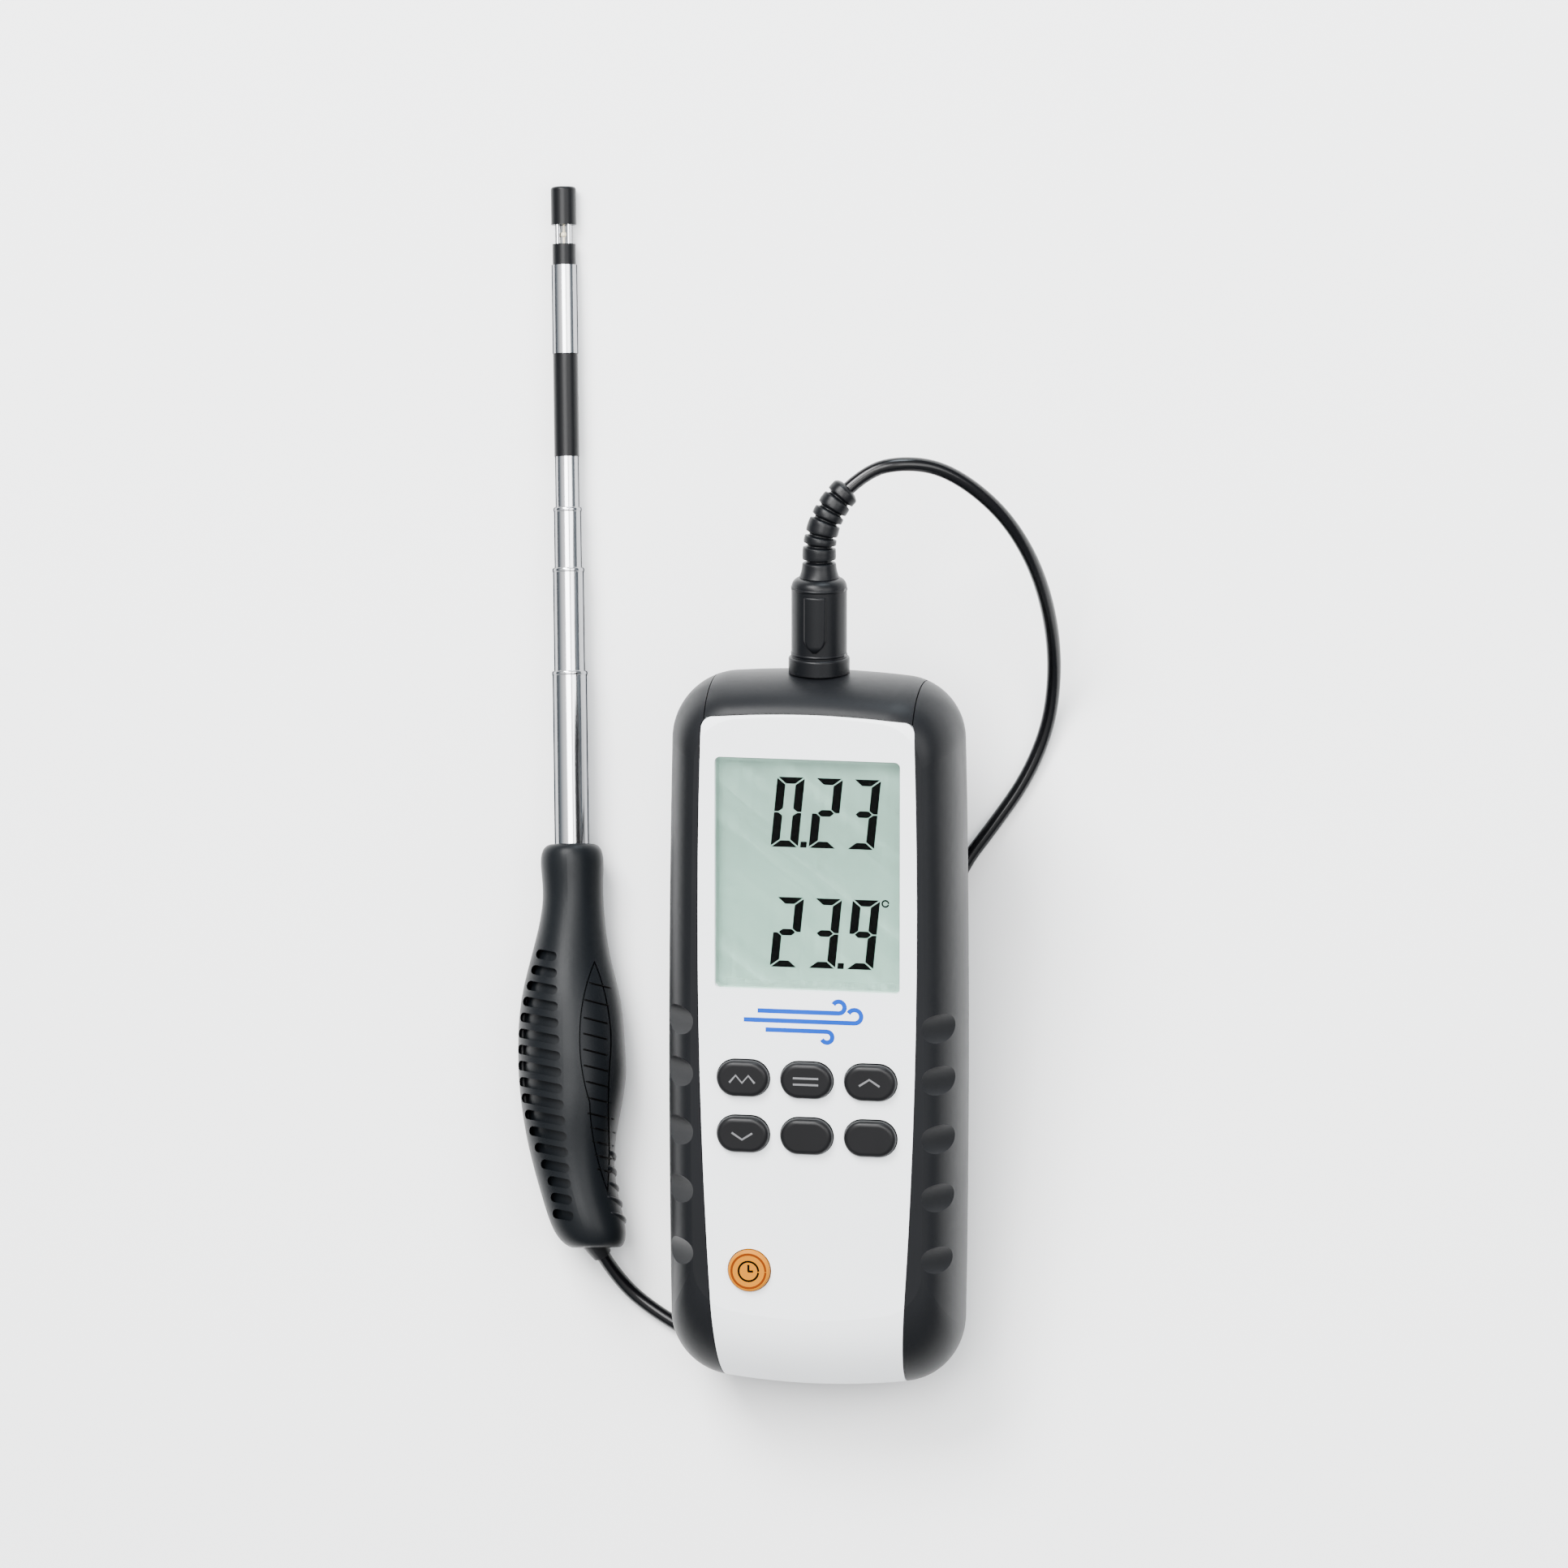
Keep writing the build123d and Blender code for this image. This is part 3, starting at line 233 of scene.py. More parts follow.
def woven_strap():
    """A narrow woven strap: two sets of threads that cross."""
    material = surface("tie_strap", (0.02, 0.02, 0.022), 0.85, bump=0.3, depth=0.1)
    nodes, links = material.node_tree.nodes, material.node_tree.links
    weave = nodes.new("ShaderNodeTexChecker")
    weave.inputs["Scale"].default_value = 1800.0
    relief = nodes["Bump"]
    links.new(nodes["Texture Coordinate"].outputs["Object"], weave.inputs["Vector"])
    links.new(weave.outputs["Fac"], relief.inputs["Height"])
    return material


MATERIALS = {
    "light_case": surface("light_case", (0.80, 0.82, 0.835), 0.4, bump=0.04, mottle=0.012),
    "dark_case": surface("dark_case", (0.012, 0.013, 0.015), 0.55, bump=0.3, depth=0.05),
    "grip_rubber": surface(
        "grip_rubber", (0.0052, 0.0056, 0.0065), 0.4,
        bump=0.15, depth=0.03, shine=0.12
    ),
    "key_rubber": surface("key_rubber", (0.0055, 0.0055, 0.006), 0.35, bump=0.08, shine=0.14),
    "orange_key": surface("orange_key", (0.40, 0.135, 0.0), 0.35, bump=0.02, shine=0.08),
    "clear_window": clear_window(),
    "lcd_panel": surface(
        "lcd_panel", (0.35, 0.53, 0.455), 0.35,
        grain=2500.0, bump=0.02, mottle=0.02
    ),
    "green_board": surface("green_board", (0.02, 0.16, 0.06), 0.35, patch=300.0, mottle=0.4),
    "dark_plastic": surface("dark_plastic", (0.0022, 0.0024, 0.003), 0.35, bump=0.08, shine=0.16),
    "steel_parts": surface("steel_parts", (0.56, 0.56, 0.58), 0.3, metallic=1.0),
    "brass_parts": surface("brass_parts", (0.72, 0.52, 0.2), 0.28, metallic=1.0),
    "battery_jacket": surface("battery_jacket", (0.10, 0.10, 0.12), 0.25, mottle=0.2, coat=0.3),
    "plug_rubber": surface("plug_rubber", (0.0022, 0.0025, 0.0032), 0.36, bump=0.06, shine=0.16),
    "cable_jacket": surface("cable_jacket", (0.0015, 0.0015, 0.002), 0.22, bump=0.03, shine=0.28),
    "tie_strap": woven_strap(),
    "handle_rubber": surface(
        "handle_rubber", (0.0034, 0.0042, 0.0052), 0.4,
        bump=0.12, depth=0.03, shine=0.12
    ),
    "polished_tube": polished_tube(),
    "sensor_bead": surface("sensor_bead", (0.70, 0.62, 0.45), 0.15, coat=0.5),
}
INK = surface("lcd_ink", (0.0006, 0.0008, 0.0008), 0.5, shine=0.02, mottle=0.15)
BLUE_INK = surface("blue_ink", (0.0, 0.045, 0.34), 0.4, shine=0.05, mottle=0.1)
PALE_INK = surface("pale_ink", (0.10, 0.10, 0.105), 0.5, mottle=0.15)
# painted shade: a darker orange ring where the round key's top rounds over at its rim
PAINTED_RIM_SHADE = surface("painted_rim_shade", (0.13, 0.022, 0.0), 0.35, shine=0.1)
# near-black ink for the printed clock sign, also used as painted shade in the pad's grooves
DARK_INK_AND_SHADE = surface("dark_ink_and_shade", (0.0004, 0.0003, 0.0003), 0.5, shine=0.03, mottle=0.2)


def dress_nodes():
    """Give each CAD node the material of its slot."""
    for entry in frame["record"]["subparts"]:
        shown = NODES[entry["node"]]
        shown.data.materials.clear()
        shown.data.materials.append(MATERIALS[entry["material_slot"]])


dress_nodes()


# ---------------------------------------------------------------- mesh helpers
def piece(name, verts, faces, material, body=ROOT, smooth=True):
    """A new mesh piece that rides on a body."""
    mesh = bpy.data.meshes.new(name)
    mesh.from_pydata([tuple(vert) for vert in verts], [], faces)
    for polygon in mesh.polygons:
        polygon.use_smooth = smooth
    editable = bmesh.new()
    editable.from_mesh(mesh)
    bmesh.ops.recalc_face_normals(editable, faces=editable.faces)
    editable.to_mesh(mesh)
    editable.free()
    mesh.materials.append(material)
    made = bpy.data.objects.new(name, mesh)
    bpy.context.scene.collection.objects.link(made)
    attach(made, body)
    return made


def prism(outlines, place, low, high):
    """Verts and faces of flat outlines given thickness. place turns x, y, z into a point."""
    verts, faces = [], []
    for outline in outlines:
        start, count = len(verts), len(outline)
        verts += [place(x, y, low) for x, y in outline]
        verts += [place(x, y, high) for x, y in outline]
        faces.append([start + count + i for i in range(count)])
        faces.append([start + i for i in reversed(range(count))])
        for i in range(count):
            after = (i + 1) % count
            faces.append([start + i, start + after, start + count + after, start + count + i])
    return verts, faces


def band(first, second, sides):
    """The faces between two rows of verts that each go once round."""
    faces = []
    for side in range(sides):
        after = (side + 1) % sides
        faces.append([first + side, first + after, second + after, second + side])
    return faces


def tube(centres, radii, sides=24):
    """Verts and faces of a closed round tube through points, with a radius at each."""
    verts, faces = [], []
    across = None
    for i, centre in enumerate(centres):
        ahead = centres[min(i + 1, len(centres) - 1)] - centres[max(i - 1, 0)]
        ahead.normalize()
        if across is None:
            across = ahead.orthogonal().normalized()
        across = (across - ahead * across.dot(ahead)).normalized()
        other = ahead.cross(across)
        for side in range(sides):
            angle = tau * side / sides
            verts.append(centre + (across * cos(angle) + other * sin(angle)) * radii[i])
    for row in range(len(centres) - 1):
        faces += band(row * sides, (row + 1) * sides, sides)
    faces.append(list(reversed(range(sides))))
    faces.append([(len(centres) - 1) * sides + side for side in range(sides)])
    return verts, faces


def ring(profile, place, sides=48):
    """Verts and faces of a ring. profile is a closed loop of (along, radius)."""
    verts, faces = [], []
    for along, radius in profile:
        for side in range(sides):
            angle = tau * side / sides
            verts.append(place(radius * cos(angle), radius * sin(angle), along))
    for row in range(len(profile)):
        faces += band(row * sides, (row + 1) % len(profile) * sides, sides)
    return verts, faces


def strip(points, width):
    """A flat line of a width through points, as an outline."""
    left, right = [], []
    for i, (x, y) in enumerate(points):
        x0, y0 = points[max(i - 1, 0)]
        x1, y1 = points[min(i + 1, len(points) - 1)]
        length = sqrt((x1 - x0) ** 2 + (y1 - y0) ** 2)
        nx, ny = -(y1 - y0) / length * width / 2, (x1 - x0) / length * width / 2
        left.append((x + nx, y + ny))
        right.append((x - nx, y - ny))
    return left + right[::-1]


# ---------------------------------------------------------------- sensor cable
CABLE_DIAMETER = 3.6
LIE = CABLE_DIAMETER / 2
COIL_Y = 70.0
COIL_OUTER, COIL_INNER = 27.4, 12.6
COIL_LAYER_TURNS = 4
COIL_LOW_Z, COIL_HIGH_Z = 1.9, 5.5
TURN_POINTS = 16
COIL_START = 10.0  # degrees from the meter's right, going clockwise

BOOT_RADIUS = 21.0
BOOT_BEND = radians(50.0)
BOOT_STRAIGHT = 6.0
BOOT_SAG = radians(25.0)
PLUG_LENGTH = 24.0
BOOT_START = on_meter(0, METER_LENGTH + PLUG_LENGTH, PLUG_AXIS_Z)
SIDEWAYS = METER_X * cos(BOOT_SAG) - METER_Z * sin(BOOT_SAG)


def boot_point(distance):
    """A point on the boot's centreline, in millimetres from the plug's shoulder."""
    if distance <= BOOT_STRAIGHT:
        return BOOT_START + METER_Y * distance * MM
    angle = (distance - BOOT_STRAIGHT) / BOOT_RADIUS
    ahead = BOOT_STRAIGHT + BOOT_RADIUS * sin(angle)
    aside = BOOT_RADIUS * (1 - cos(angle))
    return BOOT_START + (METER_Y * ahead + SIDEWAYS * aside) * MM


BOOT_LENGTH = BOOT_STRAIGHT + BOOT_RADIUS * BOOT_BEND
BOOT_END = boot_point(BOOT_LENGTH)
EXIT_WAY = METER_Y * cos(BOOT_BEND) + SIDEWAYS * sin(BOOT_BEND)

UPPER_ROUTE = [BOOT_END, BOOT_END + EXIT_WAY * 7 * MM] + beside_meter(
    [
        (19.6, 226.9, 62.0),
        (28.0, 226.3, 57.5),
        (36.0, 221.9, 52.0),
        (43.4, 214.8, 45.0),
        (48.4, 206.0, 36.5),
        (51.2, 196.5, 27.0),
        (52.3, 186.0, 17.0),
        (51.9, 175.0, 8.5),
        (49.8, 162.5, 3.0),
        (44.6, 149.5, LIE),
        (36.6, 137.5, LIE),
        (28.6, 126.5, LIE),
        (24.6, 113.5, LIE),
        (25.0, 102.0, LIE),
        (26.2, 88.0, LIE),
    ]
)
LOWER_ROUTE = beside_meter(
    [
        (27.6, 66.0, 5.4),
        (26.8, 57.0, 4.6),
        (25.2, 48.0, 2.4),
        (25.0, 39.0, LIE),
        (18.0, 25.0, LIE),
        (4.0, 13.0, LIE),
        (-13.0, 5.8, LIE),
        (-31.0, 4.2, LIE),
        (-45.8, 12.0, LIE),
        (-54.6, 19.2, 3.6),
        (-58.4, 26.0, 8.6),
    ]
)


def coil_turns():
    """Clockwise turns that wind inwards on the table, climb, and wind outwards on top."""
    points = []
    spread = (COIL_OUTER - COIL_INNER) / COIL_LAYER_TURNS
    for step in range((2 * COIL_LAYER_TURNS + 1) * TURN_POINTS + 1):
        turns = step / TURN_POINTS
        if turns <= COIL_LAYER_TURNS:
            radius, height = COIL_OUTER - spread * turns, COIL_LOW_Z
        elif turns < COIL_LAYER_TURNS + 1:
            climb = turns - COIL_LAYER_TURNS
            radius = COIL_INNER - sin(pi * climb)
            height = COIL_LOW_Z + (COIL_HIGH_Z - COIL_LOW_Z) * climb
        else:
            radius = COIL_INNER + spread * (turns - COIL_LAYER_TURNS - 1)
            height = COIL_HIGH_Z
        angle = radians(COIL_START) - tau * turns
        points.append((radius * cos(angle), COIL_Y + radius * sin(angle), height))
    return beside_meter(points)


def nurbs(name, points, radius, material):
    """A smooth round cord with these control points."""
    curve = bpy.data.curves.new(name, "CURVE")
    curve.dimensions = "3D"
    curve.bevel_depth = radius * MM
    curve.bevel_resolution = 5
    curve.use_fill_caps = True
    spline = curve.splines.new("NURBS")
    spline.points.add(len(points) - 1)
    for control, point in zip(spline.points, points):
        control.co = (*point, 1)
    spline.order_u = 3
    spline.use_endpoint_u = True
    spline.resolution_u = 6
    curve.materials.append(material)
    made = bpy.data.objects.new(name, curve)
    bpy.context.scene.collection.objects.link(made)
    return made


route = (UPPER_ROUTE + coil_turns() + LOWER_ROUTE)[::-1]
cable = nurbs("sensor_cable", route, CABLE_DIAMETER / 2, MATERIALS["cable_jacket"])
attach(cable, ROOT)
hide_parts("upper_cable", "lower_cable", "cable_coil")


# ---------------------------------------------------------------- plug boot and plug detail
BOOT_THICK = 4.35
BOOT_TAPER = 0.55
BOOT_COLLAR = 3.4  # how far the collar at the plug's shoulder reaches
BOOT_GROOVES = (4.2, 8.0, 10.6, 14.6, 17.4, 20.9)
BOOT_STATIONS = 150


def boot_radius(distance):
    """The boot tapers, and deep grooves part its links from each other."""
    share = distance / BOOT_LENGTH
    radius = BOOT_THICK - BOOT_TAPER * share
    if distance < BOOT_COLLAR:
        radius += 0.7 * (1 - distance / BOOT_COLLAR) ** 2
    for groove in BOOT_GROOVES:
        away = abs(distance - groove)
        if away < 0.5:
            radius -= 0.9 * (1 - (away / 0.5) ** 3)
        radius -= 0.22 * max(0.0, 1 - away / 1.4) ** 2
    return radius - 0.9 * max(0.0, distance - BOOT_LENGTH + 1.2) ** 2


def boot_links():
    """The boot, bent along its centreline."""
    stations = [BOOT_LENGTH * i / BOOT_STATIONS for i in range(BOOT_STATIONS + 1)]
    verts, faces = tube(
        [boot_point(distance) for distance in stations],
        [boot_radius(distance) * MM for distance in stations],
        32,
    )
    return piece("boot_links", verts, faces, MATERIALS["plug_rubber"])


boot = boot_links()
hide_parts("plug_boot")


def around_plug(angle, along, radius):
    """A point round the plug: degrees from its top, along it and out from its axis."""
    turned = radians(angle)
    return on_meter(
        radius * sin(turned), METER_LENGTH + along, PLUG_AXIS_Z + radius * cos(turned)
    )


def plug_patch(name, rows, low, high):
    """A raised patch that wraps the plug. rows gives (along, half width in degrees)."""
    across = 9  # verts in each row
    verts, faces = [], []
    for radius in (low, high):
        for along, half in rows:
            for i in range(across):
                verts.append(around_plug(half * (2 * i / (across - 1) - 1), along, radius))
    layer = len(rows) * across
    for j in range(len(rows) - 1):
        for i in range(across - 1):
            a = j * across + i
            b, c, d = a + 1, a + across + 1, a + across
            faces += [[layer + a, layer + b, layer + c, layer + d], [d, c, b, a]]
    rim = list(range(across))
    rim += [j * across + across - 1 for j in range(1, len(rows))]
    rim += [(len(rows) - 1) * across + i for i in reversed(range(across - 1))]
    rim += [j * across for j in reversed(range(1, len(rows) - 1))]
    for i, a in enumerate(rim):
        b = rim[(i + 1) % len(rim)]
        faces.append([a, b, layer + b, layer + a])
    return piece(name, verts, faces, MATERIALS["plug_rubber"])


PLUG_RADIUS = 6.95
SHIELD = (
    (6.0, 4.0),
    (7.6, 17.0),
    (8.8, 22.0),
    (9.2, 23.0),
    (12.6, 23.0),
    (19.6, 23.0),
    (20.0, 22.0),
)
BAND_PLACES = (4.4, 21.0)
BAND_WIDTH = 0.7


def plug_band(number, along):
    """A low band over the plug's upper half."""
    rows = ((along, 90.0), (along + BAND_WIDTH, 90.0))
    return plug_patch(f"plug_band_{number}", rows, PLUG_RADIUS - 0.1, PLUG_RADIUS + 0.2)


panel = plug_patch("plug_panel", SHIELD, PLUG_RADIUS - 0.1, PLUG_RADIUS + 0.32)
bands = [plug_band(i + 1, along) for i, along in enumerate(BAND_PLACES)]

# ---------------------------------------------------------------- display
SEGMENTS = {  # the segments that each numeral lights
    "0": "abcdef",
    "2": "abdeg",
    "3": "abcdg",
    "9": "abcdfg",
}
DIGIT_WIDTH, DIGIT_HEIGHT = 6.9, 17.8
DIGIT_PITCH = 9.6
UPRIGHT_WIDTH, LEVEL_WIDTH = 2.15, 1.65
DIGIT_SLANT = 0.1
SEGMENT_GAP = 0.28


def segment(letter):
    """One segment's outline, from the digit's lower left corner."""
    w, h, u, v, g = DIGIT_WIDTH, DIGIT_HEIGHT, UPRIGHT_WIDTH, LEVEL_WIDTH, SEGMENT_GAP
    middle = h / 2
    if letter == "a":
        return [(g, h), (w - g, h), (w - u - g / 2, h - v), (u + g / 2, h - v)]
    if letter == "d":
        return [(g, 0), (u + g / 2, v), (w - u - g / 2, v), (w - g, 0)]
    if letter == "g":
        return [
            (u / 2 + g, middle),
            (u + g / 2, middle + v / 2),
            (w - u - g / 2, middle + v / 2),
            (w - u / 2 - g, middle),
            (w - u - g / 2, middle - v / 2),
            (u + g / 2, middle - v / 2),
        ]
    left = [
        (0, middle + g / 2),
        (0, h - g),
        (u, h - v - g),
        (u, middle + v / 2 + g / 2),
        (u / 2, middle + g / 2),
    ]
    if letter in "bc":
        left = [(w - x, y) for x, y in left]
    if letter in "ce":
        left = [(x, h - y) for x, y in left]
    return left


def on_glass(name, outlines):
    """Dark outlines on the display's glass."""
    verts, faces = prism(outlines, on_meter, GLASS_TOP_Z - 0.05, GLASS_TOP_Z + 0.05)
    piece(name, verts, faces, INK, smooth=False)


def reading(name, text, right, low):
    """Digits that end at a right edge, with a decimal point."""
    outlines = []
    numerals = text.replace(".", "")
    point_after = text.index(".") - 1
    for i, numeral in enumerate(numerals):
        start = right - DIGIT_WIDTH - DIGIT_PITCH * (len(numerals) - 1 - i)
        shapes = [segment(letter) for letter in SEGMENTS[numeral]]
        if i == point_after:
            left, high = DIGIT_WIDTH + 0.55, 1.5
            shapes.append([(left, 0), (left + 1.6, 0), (left + 1.6, high), (left, high)])
        for shape in shapes:
            outlines.append([(start + x + DIGIT_SLANT * y, low + y) for x, y in shape])
    on_glass(name, outlines)


reading("air_speed_reading", "0.23", 16.3, 140.2)
reading("temperature_reading", "23.9", 16.1, 109.6)


def ring_outline(x, y, radius, width, sweep=tau, count=24):
    """A bent strip round a point."""
    points = []
    for i in range(count + 1):
        angle = sweep * i / count
        points.append((x + radius * cos(angle), y + radius * sin(angle)))
    return strip(points, width)


on_glass("degree_mark", [ring_outline(19.2, 126.6, 0.8, 0.4, sweep=tau * 0.96)])


# ---------------------------------------------------------------- face marks
WIND_LINES = (  # left end, height, right end, and the curl's radius, below zero if it turns down
    (-12.5, 99.0, 8.0, 1.5),
    (-16.0, 96.6, 12.0, 1.7),
    (-10.5, 94.2, 5.0, -1.4),
)
WIND_LINE_WIDTH = 1.15
CURL_POINTS = 12
CURL_SWEEP = pi * 1.35


def wind_lines():
    """Three streams of air with curled ends, a plain sign for wind."""
    outlines = []
    for left, y, right, curl in WIND_LINES:
        side = 1 if curl > 0 else -1
        points = [(left, y), ((left + right) / 2, y), (right, y)]
        for i in range(1, CURL_POINTS + 1):
            angle = side * (CURL_SWEEP * i / CURL_POINTS - pi / 2)
            points.append((right + abs(curl) * cos(angle), y + curl + abs(curl) * sin(angle)))
        outlines.append(strip(points, WIND_LINE_WIDTH))
    return outlines


def wind_sign():
    """The blue sign between the display and the keys."""
    verts, faces = prism(wind_lines(), on_meter, FACE_Z - 0.06, FACE_Z + 0.03)
    piece("wind_sign", verts, faces, BLUE_INK, smooth=False)


wind_sign()

KEY_TOP_Z = 38.2
KEY_RIGHT = 16.1  # the outer keys' distance from the middle one
UPPER_ROW, LOWER_ROW = 81.7, 67.4
PEAKS = [[(-3.2, -0.9), (-1.6, 1.0), (0, -0.9), (1.6, 1.0), (3.2, -0.9)]]
TWO_LINES = [[(-3.2, 0.8), (3.2, 0.8)], [(-3.2, -0.8), (3.2, -0.8)]]
CHEVRON_UP = [[(-2.6, -0.6), (0, 1.1), (2.6, -0.6)]]
CHEVRON_DOWN = [[(-2.6, 0.6), (0, -1.1), (2.6, 0.6)]]
KEY_SIGNS = {
    "upper_left_key": (-KEY_RIGHT, UPPER_ROW, PEAKS),
    "upper_middle_key": (0.0, UPPER_ROW, TWO_LINES),
    "upper_right_key": (KEY_RIGHT, UPPER_ROW, CHEVRON_UP),
    "lower_left_key": (-KEY_RIGHT, LOWER_ROW, CHEVRON_DOWN),
}


def key_sign(key, x, y, sign_lines):
    """A pale sign on top of a key."""
    outlines = [strip([(x + dx, y + dy) for dx, dy in line], 0.5) for line in sign_lines]
    verts, faces = prism(outlines, on_meter, KEY_TOP_Z - 0.05, KEY_TOP_Z + 0.02)
    piece(f"{key}_sign", verts, faces, PALE_INK, body=key, smooth=False)


for key, (x, y, sign_lines) in KEY_SIGNS.items():
    key_sign(key, x, y, sign_lines)

POWER_X, POWER_Y = -14.6, 32.4
POWER_TOP_Z = FACE_Z + 1.4


def on_power_key(name, outlines, mark_material, height):
    """Thin outlines on top of the round key, in a given material."""
    verts, faces = prism(outlines, on_meter, POWER_TOP_Z - 0.05, POWER_TOP_Z + height)
    piece(name, verts, faces, mark_material, body="power_key", smooth=False)


def clock_outlines():
    """A circle with two hands."""
    return [
        ring_outline(POWER_X, POWER_Y, 2.5, 0.5, sweep=tau * 0.985, count=40),
        strip([(POWER_X, POWER_Y + 1.7), (POWER_X, POWER_Y)], 0.55),
        strip([(POWER_X - 0.2, POWER_Y), (POWER_X + 1.2, POWER_Y)], 0.55),
    ]


# painted shade at the round key's rim, drawn as a dark ring
rim_shade_circle = ring_outline(POWER_X, POWER_Y, 4.3, 0.55, sweep=tau * 0.995, count=60)
on_power_key("power_rim_shade", [rim_shade_circle], PAINTED_RIM_SHADE, 0.015)
on_power_key("power_sign", clock_outlines(), DARK_INK_AND_SHADE, 0.02)


# ---------------------------------------------------------------- handle ribs
OUTSIDE = 40.0  # farther from the probe's axis than the handle reaches


def handle_surface(x, distance):
    """The point of the handle's top at a sideways place and a distance from the tip."""
    start = on_probe(x, OUTSIDE, distance)
    best = None
    for name in ("handle_grip", "grip_pad"):
        hit, place, _, _ = NODES[name].ray_cast(start, -PROBE_Y)
        if hit and (best is None or (place - start).length < (best - start).length):
            best = place
    return best


PAD_GROOVES = (  # distances from the tip
    201.5, 206.0, 210.5, 214.5, 218.5, 222.5, 226.5, 230.5, 234.5, 238.0, 241.5, 245.0, 248.5
)
GROOVE_POINTS = 13
GROOVE_STEP = 0.45  # sideways, from one point of a groove to the next
GROOVE_SLANT = 0.12  # backwards, from one point of a groove to the next
GROOVE_RADIUS = 0.27
GROOVE_SINK = 0.12  # its middle below the pad's surface
PAD_WAIST = 217.0  # where the pad comes closest to the handle's middle


def pad_groove_shade(number, distance):
    """A dark tube of painted shade along a groove across the ribbed pad."""
    inner = 4.2 + 2.4 * ((distance - PAD_WAIST) / 32) ** 2
    spots = []
    for i in range(GROOVE_POINTS):
        spot = handle_surface(inner + GROOVE_STEP * i, distance + GROOVE_SLANT * i)
        if spot is not None:
            spots.append(spot - PROBE_Y * GROOVE_SINK * MM)
    # painted shade: a thin dark tube stands in for the shade inside the groove
    verts, faces = tube(spots, [GROOVE_RADIUS * MM] * len(spots), 10)
    piece(f"pad_groove_shade_{number}", verts, faces, DARK_INK_AND_SHADE)


for number, distance in enumerate(PAD_GROOVES):
    pad_groove_shade(number + 1, distance)


def side_surface(side, height, distance):
    """The point of the handle's left (-1) or right (1) side at a height above its axis."""
    start = on_probe(side * OUTSIDE, height, distance)
    hit, place, _, _ = NODES["handle_grip"].ray_cast(start, PROBE_X * -side)
    return place if hit else None


FINGER_RIDGES = (243.5, 247.5, 251.5, 255.5, 259.5)  # distances from the tip
RIDGE_SPAN = 11.0  # from top to bottom
RIDGE_STEPS = 10
RIDGE_SLANT = 0.3  # backwards, from one point of a ridge to the next
RIDGE_END, RIDGE_SWELL = 0.25, 0.6  # its radius at the ends, and what its middle adds


def finger_ridge(number, distance):
    """A soft ridge down the handle's right side, thickest in its middle."""
    spots = []
    for i in range(RIDGE_STEPS + 1):
        height = RIDGE_SPAN * (0.5 - i / RIDGE_STEPS)
        spot = side_surface(1, height, distance + RIDGE_SLANT * i)
        if spot is not None:
            spots.append(spot - PROBE_X * RIDGE_END * MM)
    radii = []
    for i in range(len(spots)):
        radii.append((RIDGE_END + RIDGE_SWELL * sin(pi * i / (len(spots) - 1))) * MM)
    verts, faces = tube(spots, radii, 16)
    piece(f"finger_ridge_{number}", verts, faces, MATERIALS["handle_rubber"])


for number, distance in enumerate(FINGER_RIDGES):
    finger_ridge(number + 1, distance)

LOUVRES = 17
LOUVRE_FIRST, LOUVRE_LAST = 194.5, 260.0
LOUVRE_PITCH = (LOUVRE_LAST - LOUVRE_FIRST) / (LOUVRES - 1)
RIM_RADIUS = 0.9
RIM_SINK = 0.95  # its middle inside the handle's side


def louvre_rim():
    """A rim that closes the outer ends of the louvres.

    Each of its places is found between two louvres, where the side is whole.
    """
    spots = []
    for i in range(-1, LOUVRES):
        spot = side_surface(-1, 0.0, LOUVRE_FIRST + LOUVRE_PITCH * (i + 0.5))
        if spot is not None:
            spots.append(spot + PROBE_X * RIM_SINK * MM)
    radii = [RIM_RADIUS * MM] * len(spots)
    radii[0] = radii[-1] = RIM_RADIUS / 3 * MM
    verts, faces = tube(spots, radii, 16)
    piece("louvre_rim", verts, faces, MATERIALS["handle_rubber"])


louvre_rim()

# ---------------------------------------------------------------- rolled ends of the tubes
ROLL_SECTION = (  # along the tube, and out from its surface
    (0.0, -0.12),
    (0.0, 0.04),
    (0.2, 0.12),
    (0.5, 0.15),
    (0.8, 0.12),
    (1.0, 0.04),
    (1.0, -0.12),
)
ROLLS = (  # the tube's front end from the tip, its radius and its body
    (122.6, 4.35, ROOT),
    (96.5, 3.9, "section_2"),
    (81.2, 3.45, "section_3"),
)


def rolled_end(number, front, radius, body):
    """The rolled lip at the front end of a tube."""
    section = [(front + along, radius + out) for along, out in ROLL_SECTION]
    verts, faces = ring(section, on_probe)
    steel = MATERIALS["polished_tube"]
    piece(f"rolled_end_{number}", verts, faces, steel, body=body)


for number, (front, radius, body) in enumerate(ROLLS):
    rolled_end(number + 1, front, radius, body)

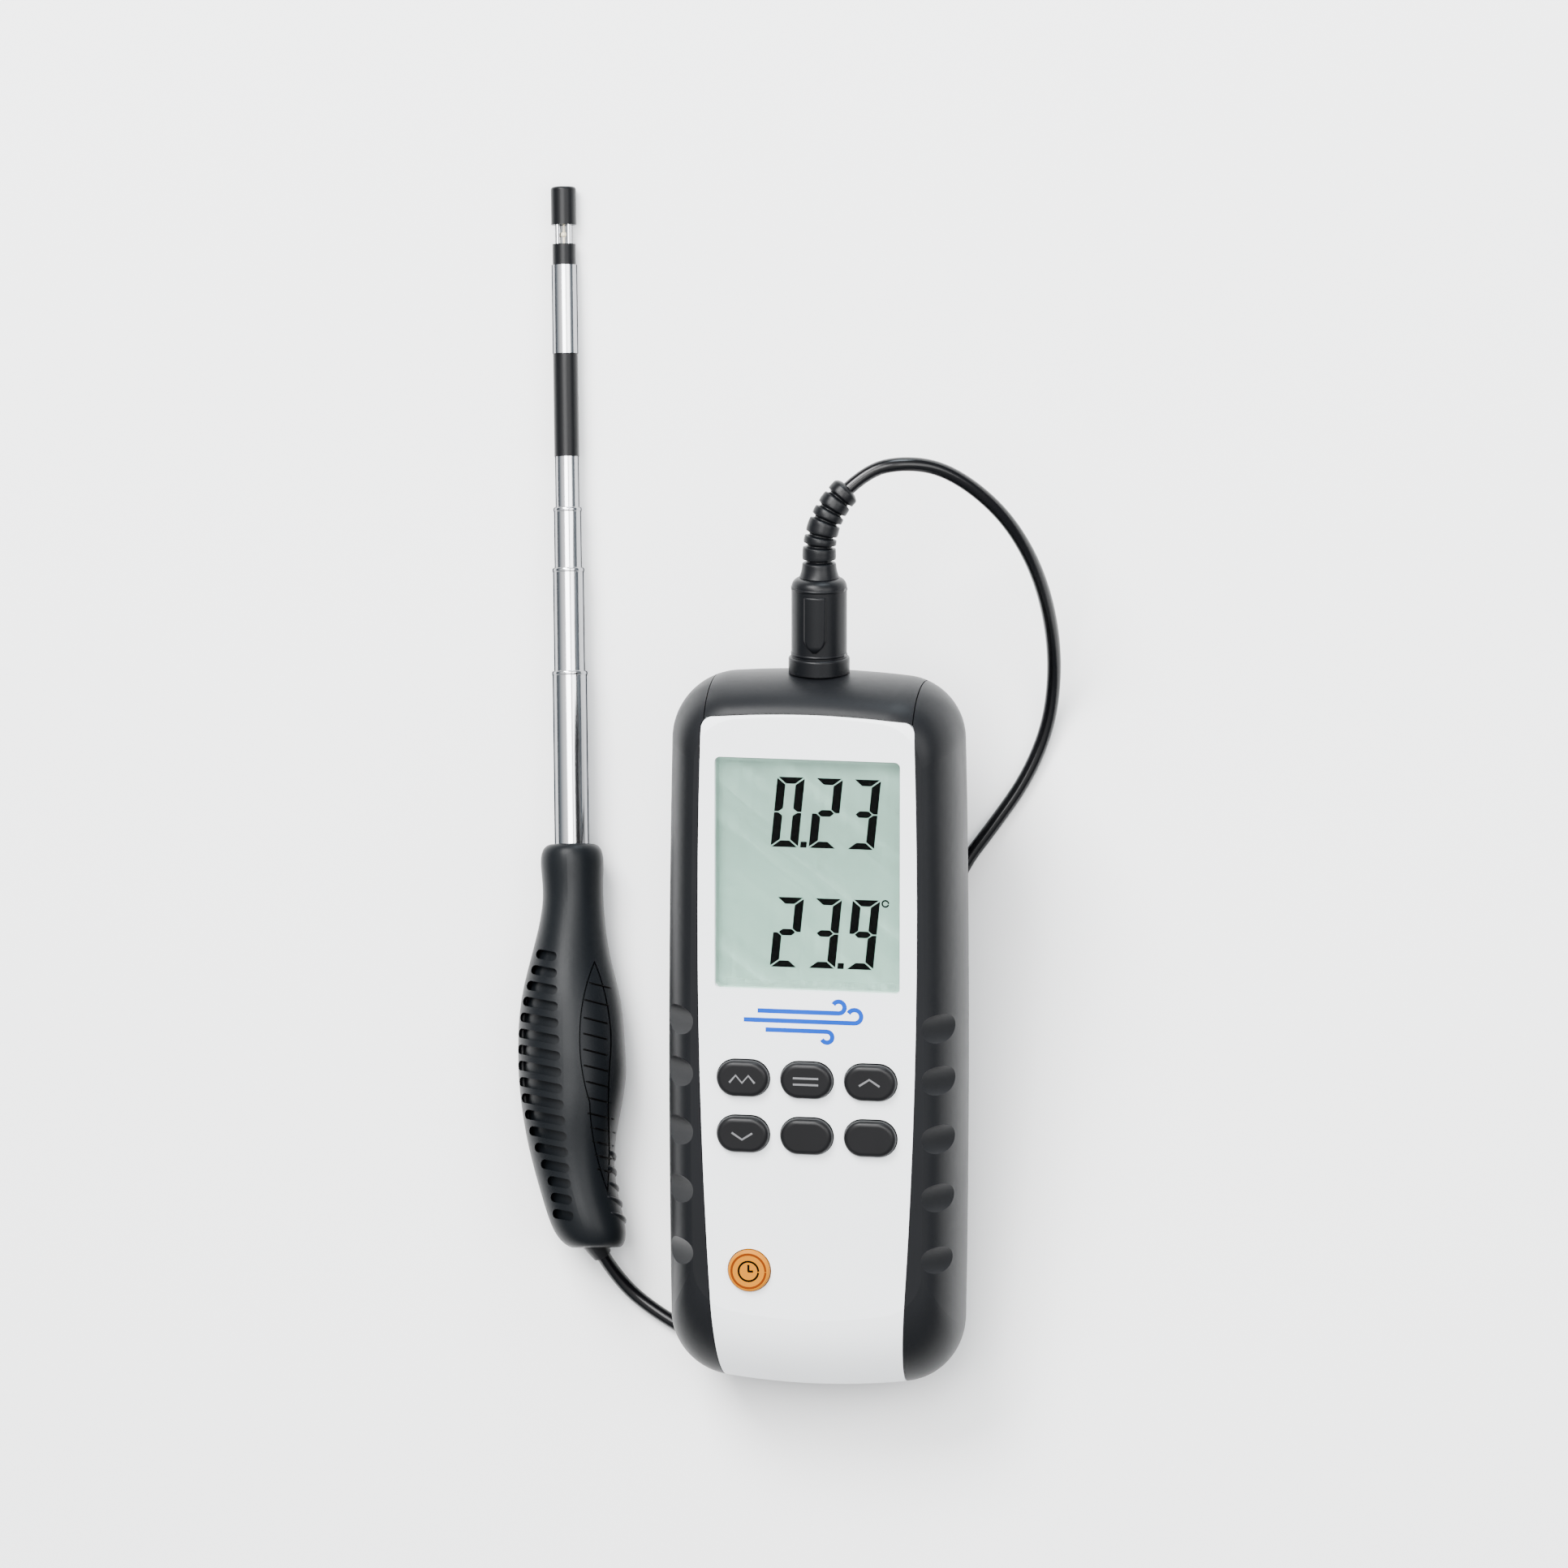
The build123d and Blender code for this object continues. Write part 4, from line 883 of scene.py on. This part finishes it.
# ---------------------------------------------------------------- floor and light
FLOOR_SIZE = 6.0


def paper_floor():
    """A wide sheet of pale paper."""
    bpy.ops.mesh.primitive_grid_add(x_subdivisions=2, y_subdivisions=2, size=FLOOR_SIZE)
    made = bpy.context.object
    made.name = "floor"
    paper = surface("floor_paper", (0.86, 0.86, 0.86), 0.7, mottle=0.01, patch=4.0)
    made.data.materials.append(paper)
    return made


floor = paper_floor()


def lamp(name, place, size, power, tint=(1, 1, 1)):
    """A soft square lamp that points at the origin."""
    data = bpy.data.lights.new(name, "AREA")
    data.size = size
    data.energy = power
    data.color = tint
    made = bpy.data.objects.new(name, data)
    bpy.context.scene.collection.objects.link(made)
    made.location = place
    made.rotation_euler = Vector(place).to_track_quat("Z", "Y").to_euler()


lamp("key_lamp", (-0.45, 0.9, 1.3), 0.7, 66)
lamp("fill_lamp", (0.9, 0.1, 1.1), 0.8, 14)
lamp("top_lamp", (0.0, 0.2, 1.7), 0.9, 40)
lamp("rim_lamp", (0.25, 1.3, 0.45), 0.5, 14, (0.82, 0.92, 1.0))


def studio_world():
    """A studio around the object: bright overhead, dim towards the horizon."""
    world = bpy.data.worlds.new("studio")
    world.use_nodes = True
    nodes, links = world.node_tree.nodes, world.node_tree.links
    way = nodes.new("ShaderNodeTexCoord")
    split = nodes.new("ShaderNodeSeparateXYZ")
    ramp = nodes.new("ShaderNodeValToRGB")
    ramp.color_ramp.elements[0].position = 0.05
    ramp.color_ramp.elements[0].color = (0.10, 0.12, 0.14, 1)
    ramp.color_ramp.elements[1].position = 0.85
    ramp.color_ramp.elements[1].color = (1.0, 1.0, 1.0, 1)
    middle = ramp.color_ramp.elements.new(0.45)
    middle.color = (0.30, 0.33, 0.36, 1)
    links.new(way.outputs["Generated"], split.inputs["Vector"])
    links.new(split.outputs["Z"], ramp.inputs["Fac"])
    links.new(ramp.outputs["Color"], nodes["Background"].inputs["Color"])
    nodes["Background"].inputs["Strength"].default_value = 1.5
    return world


bpy.context.scene.world = studio_world()
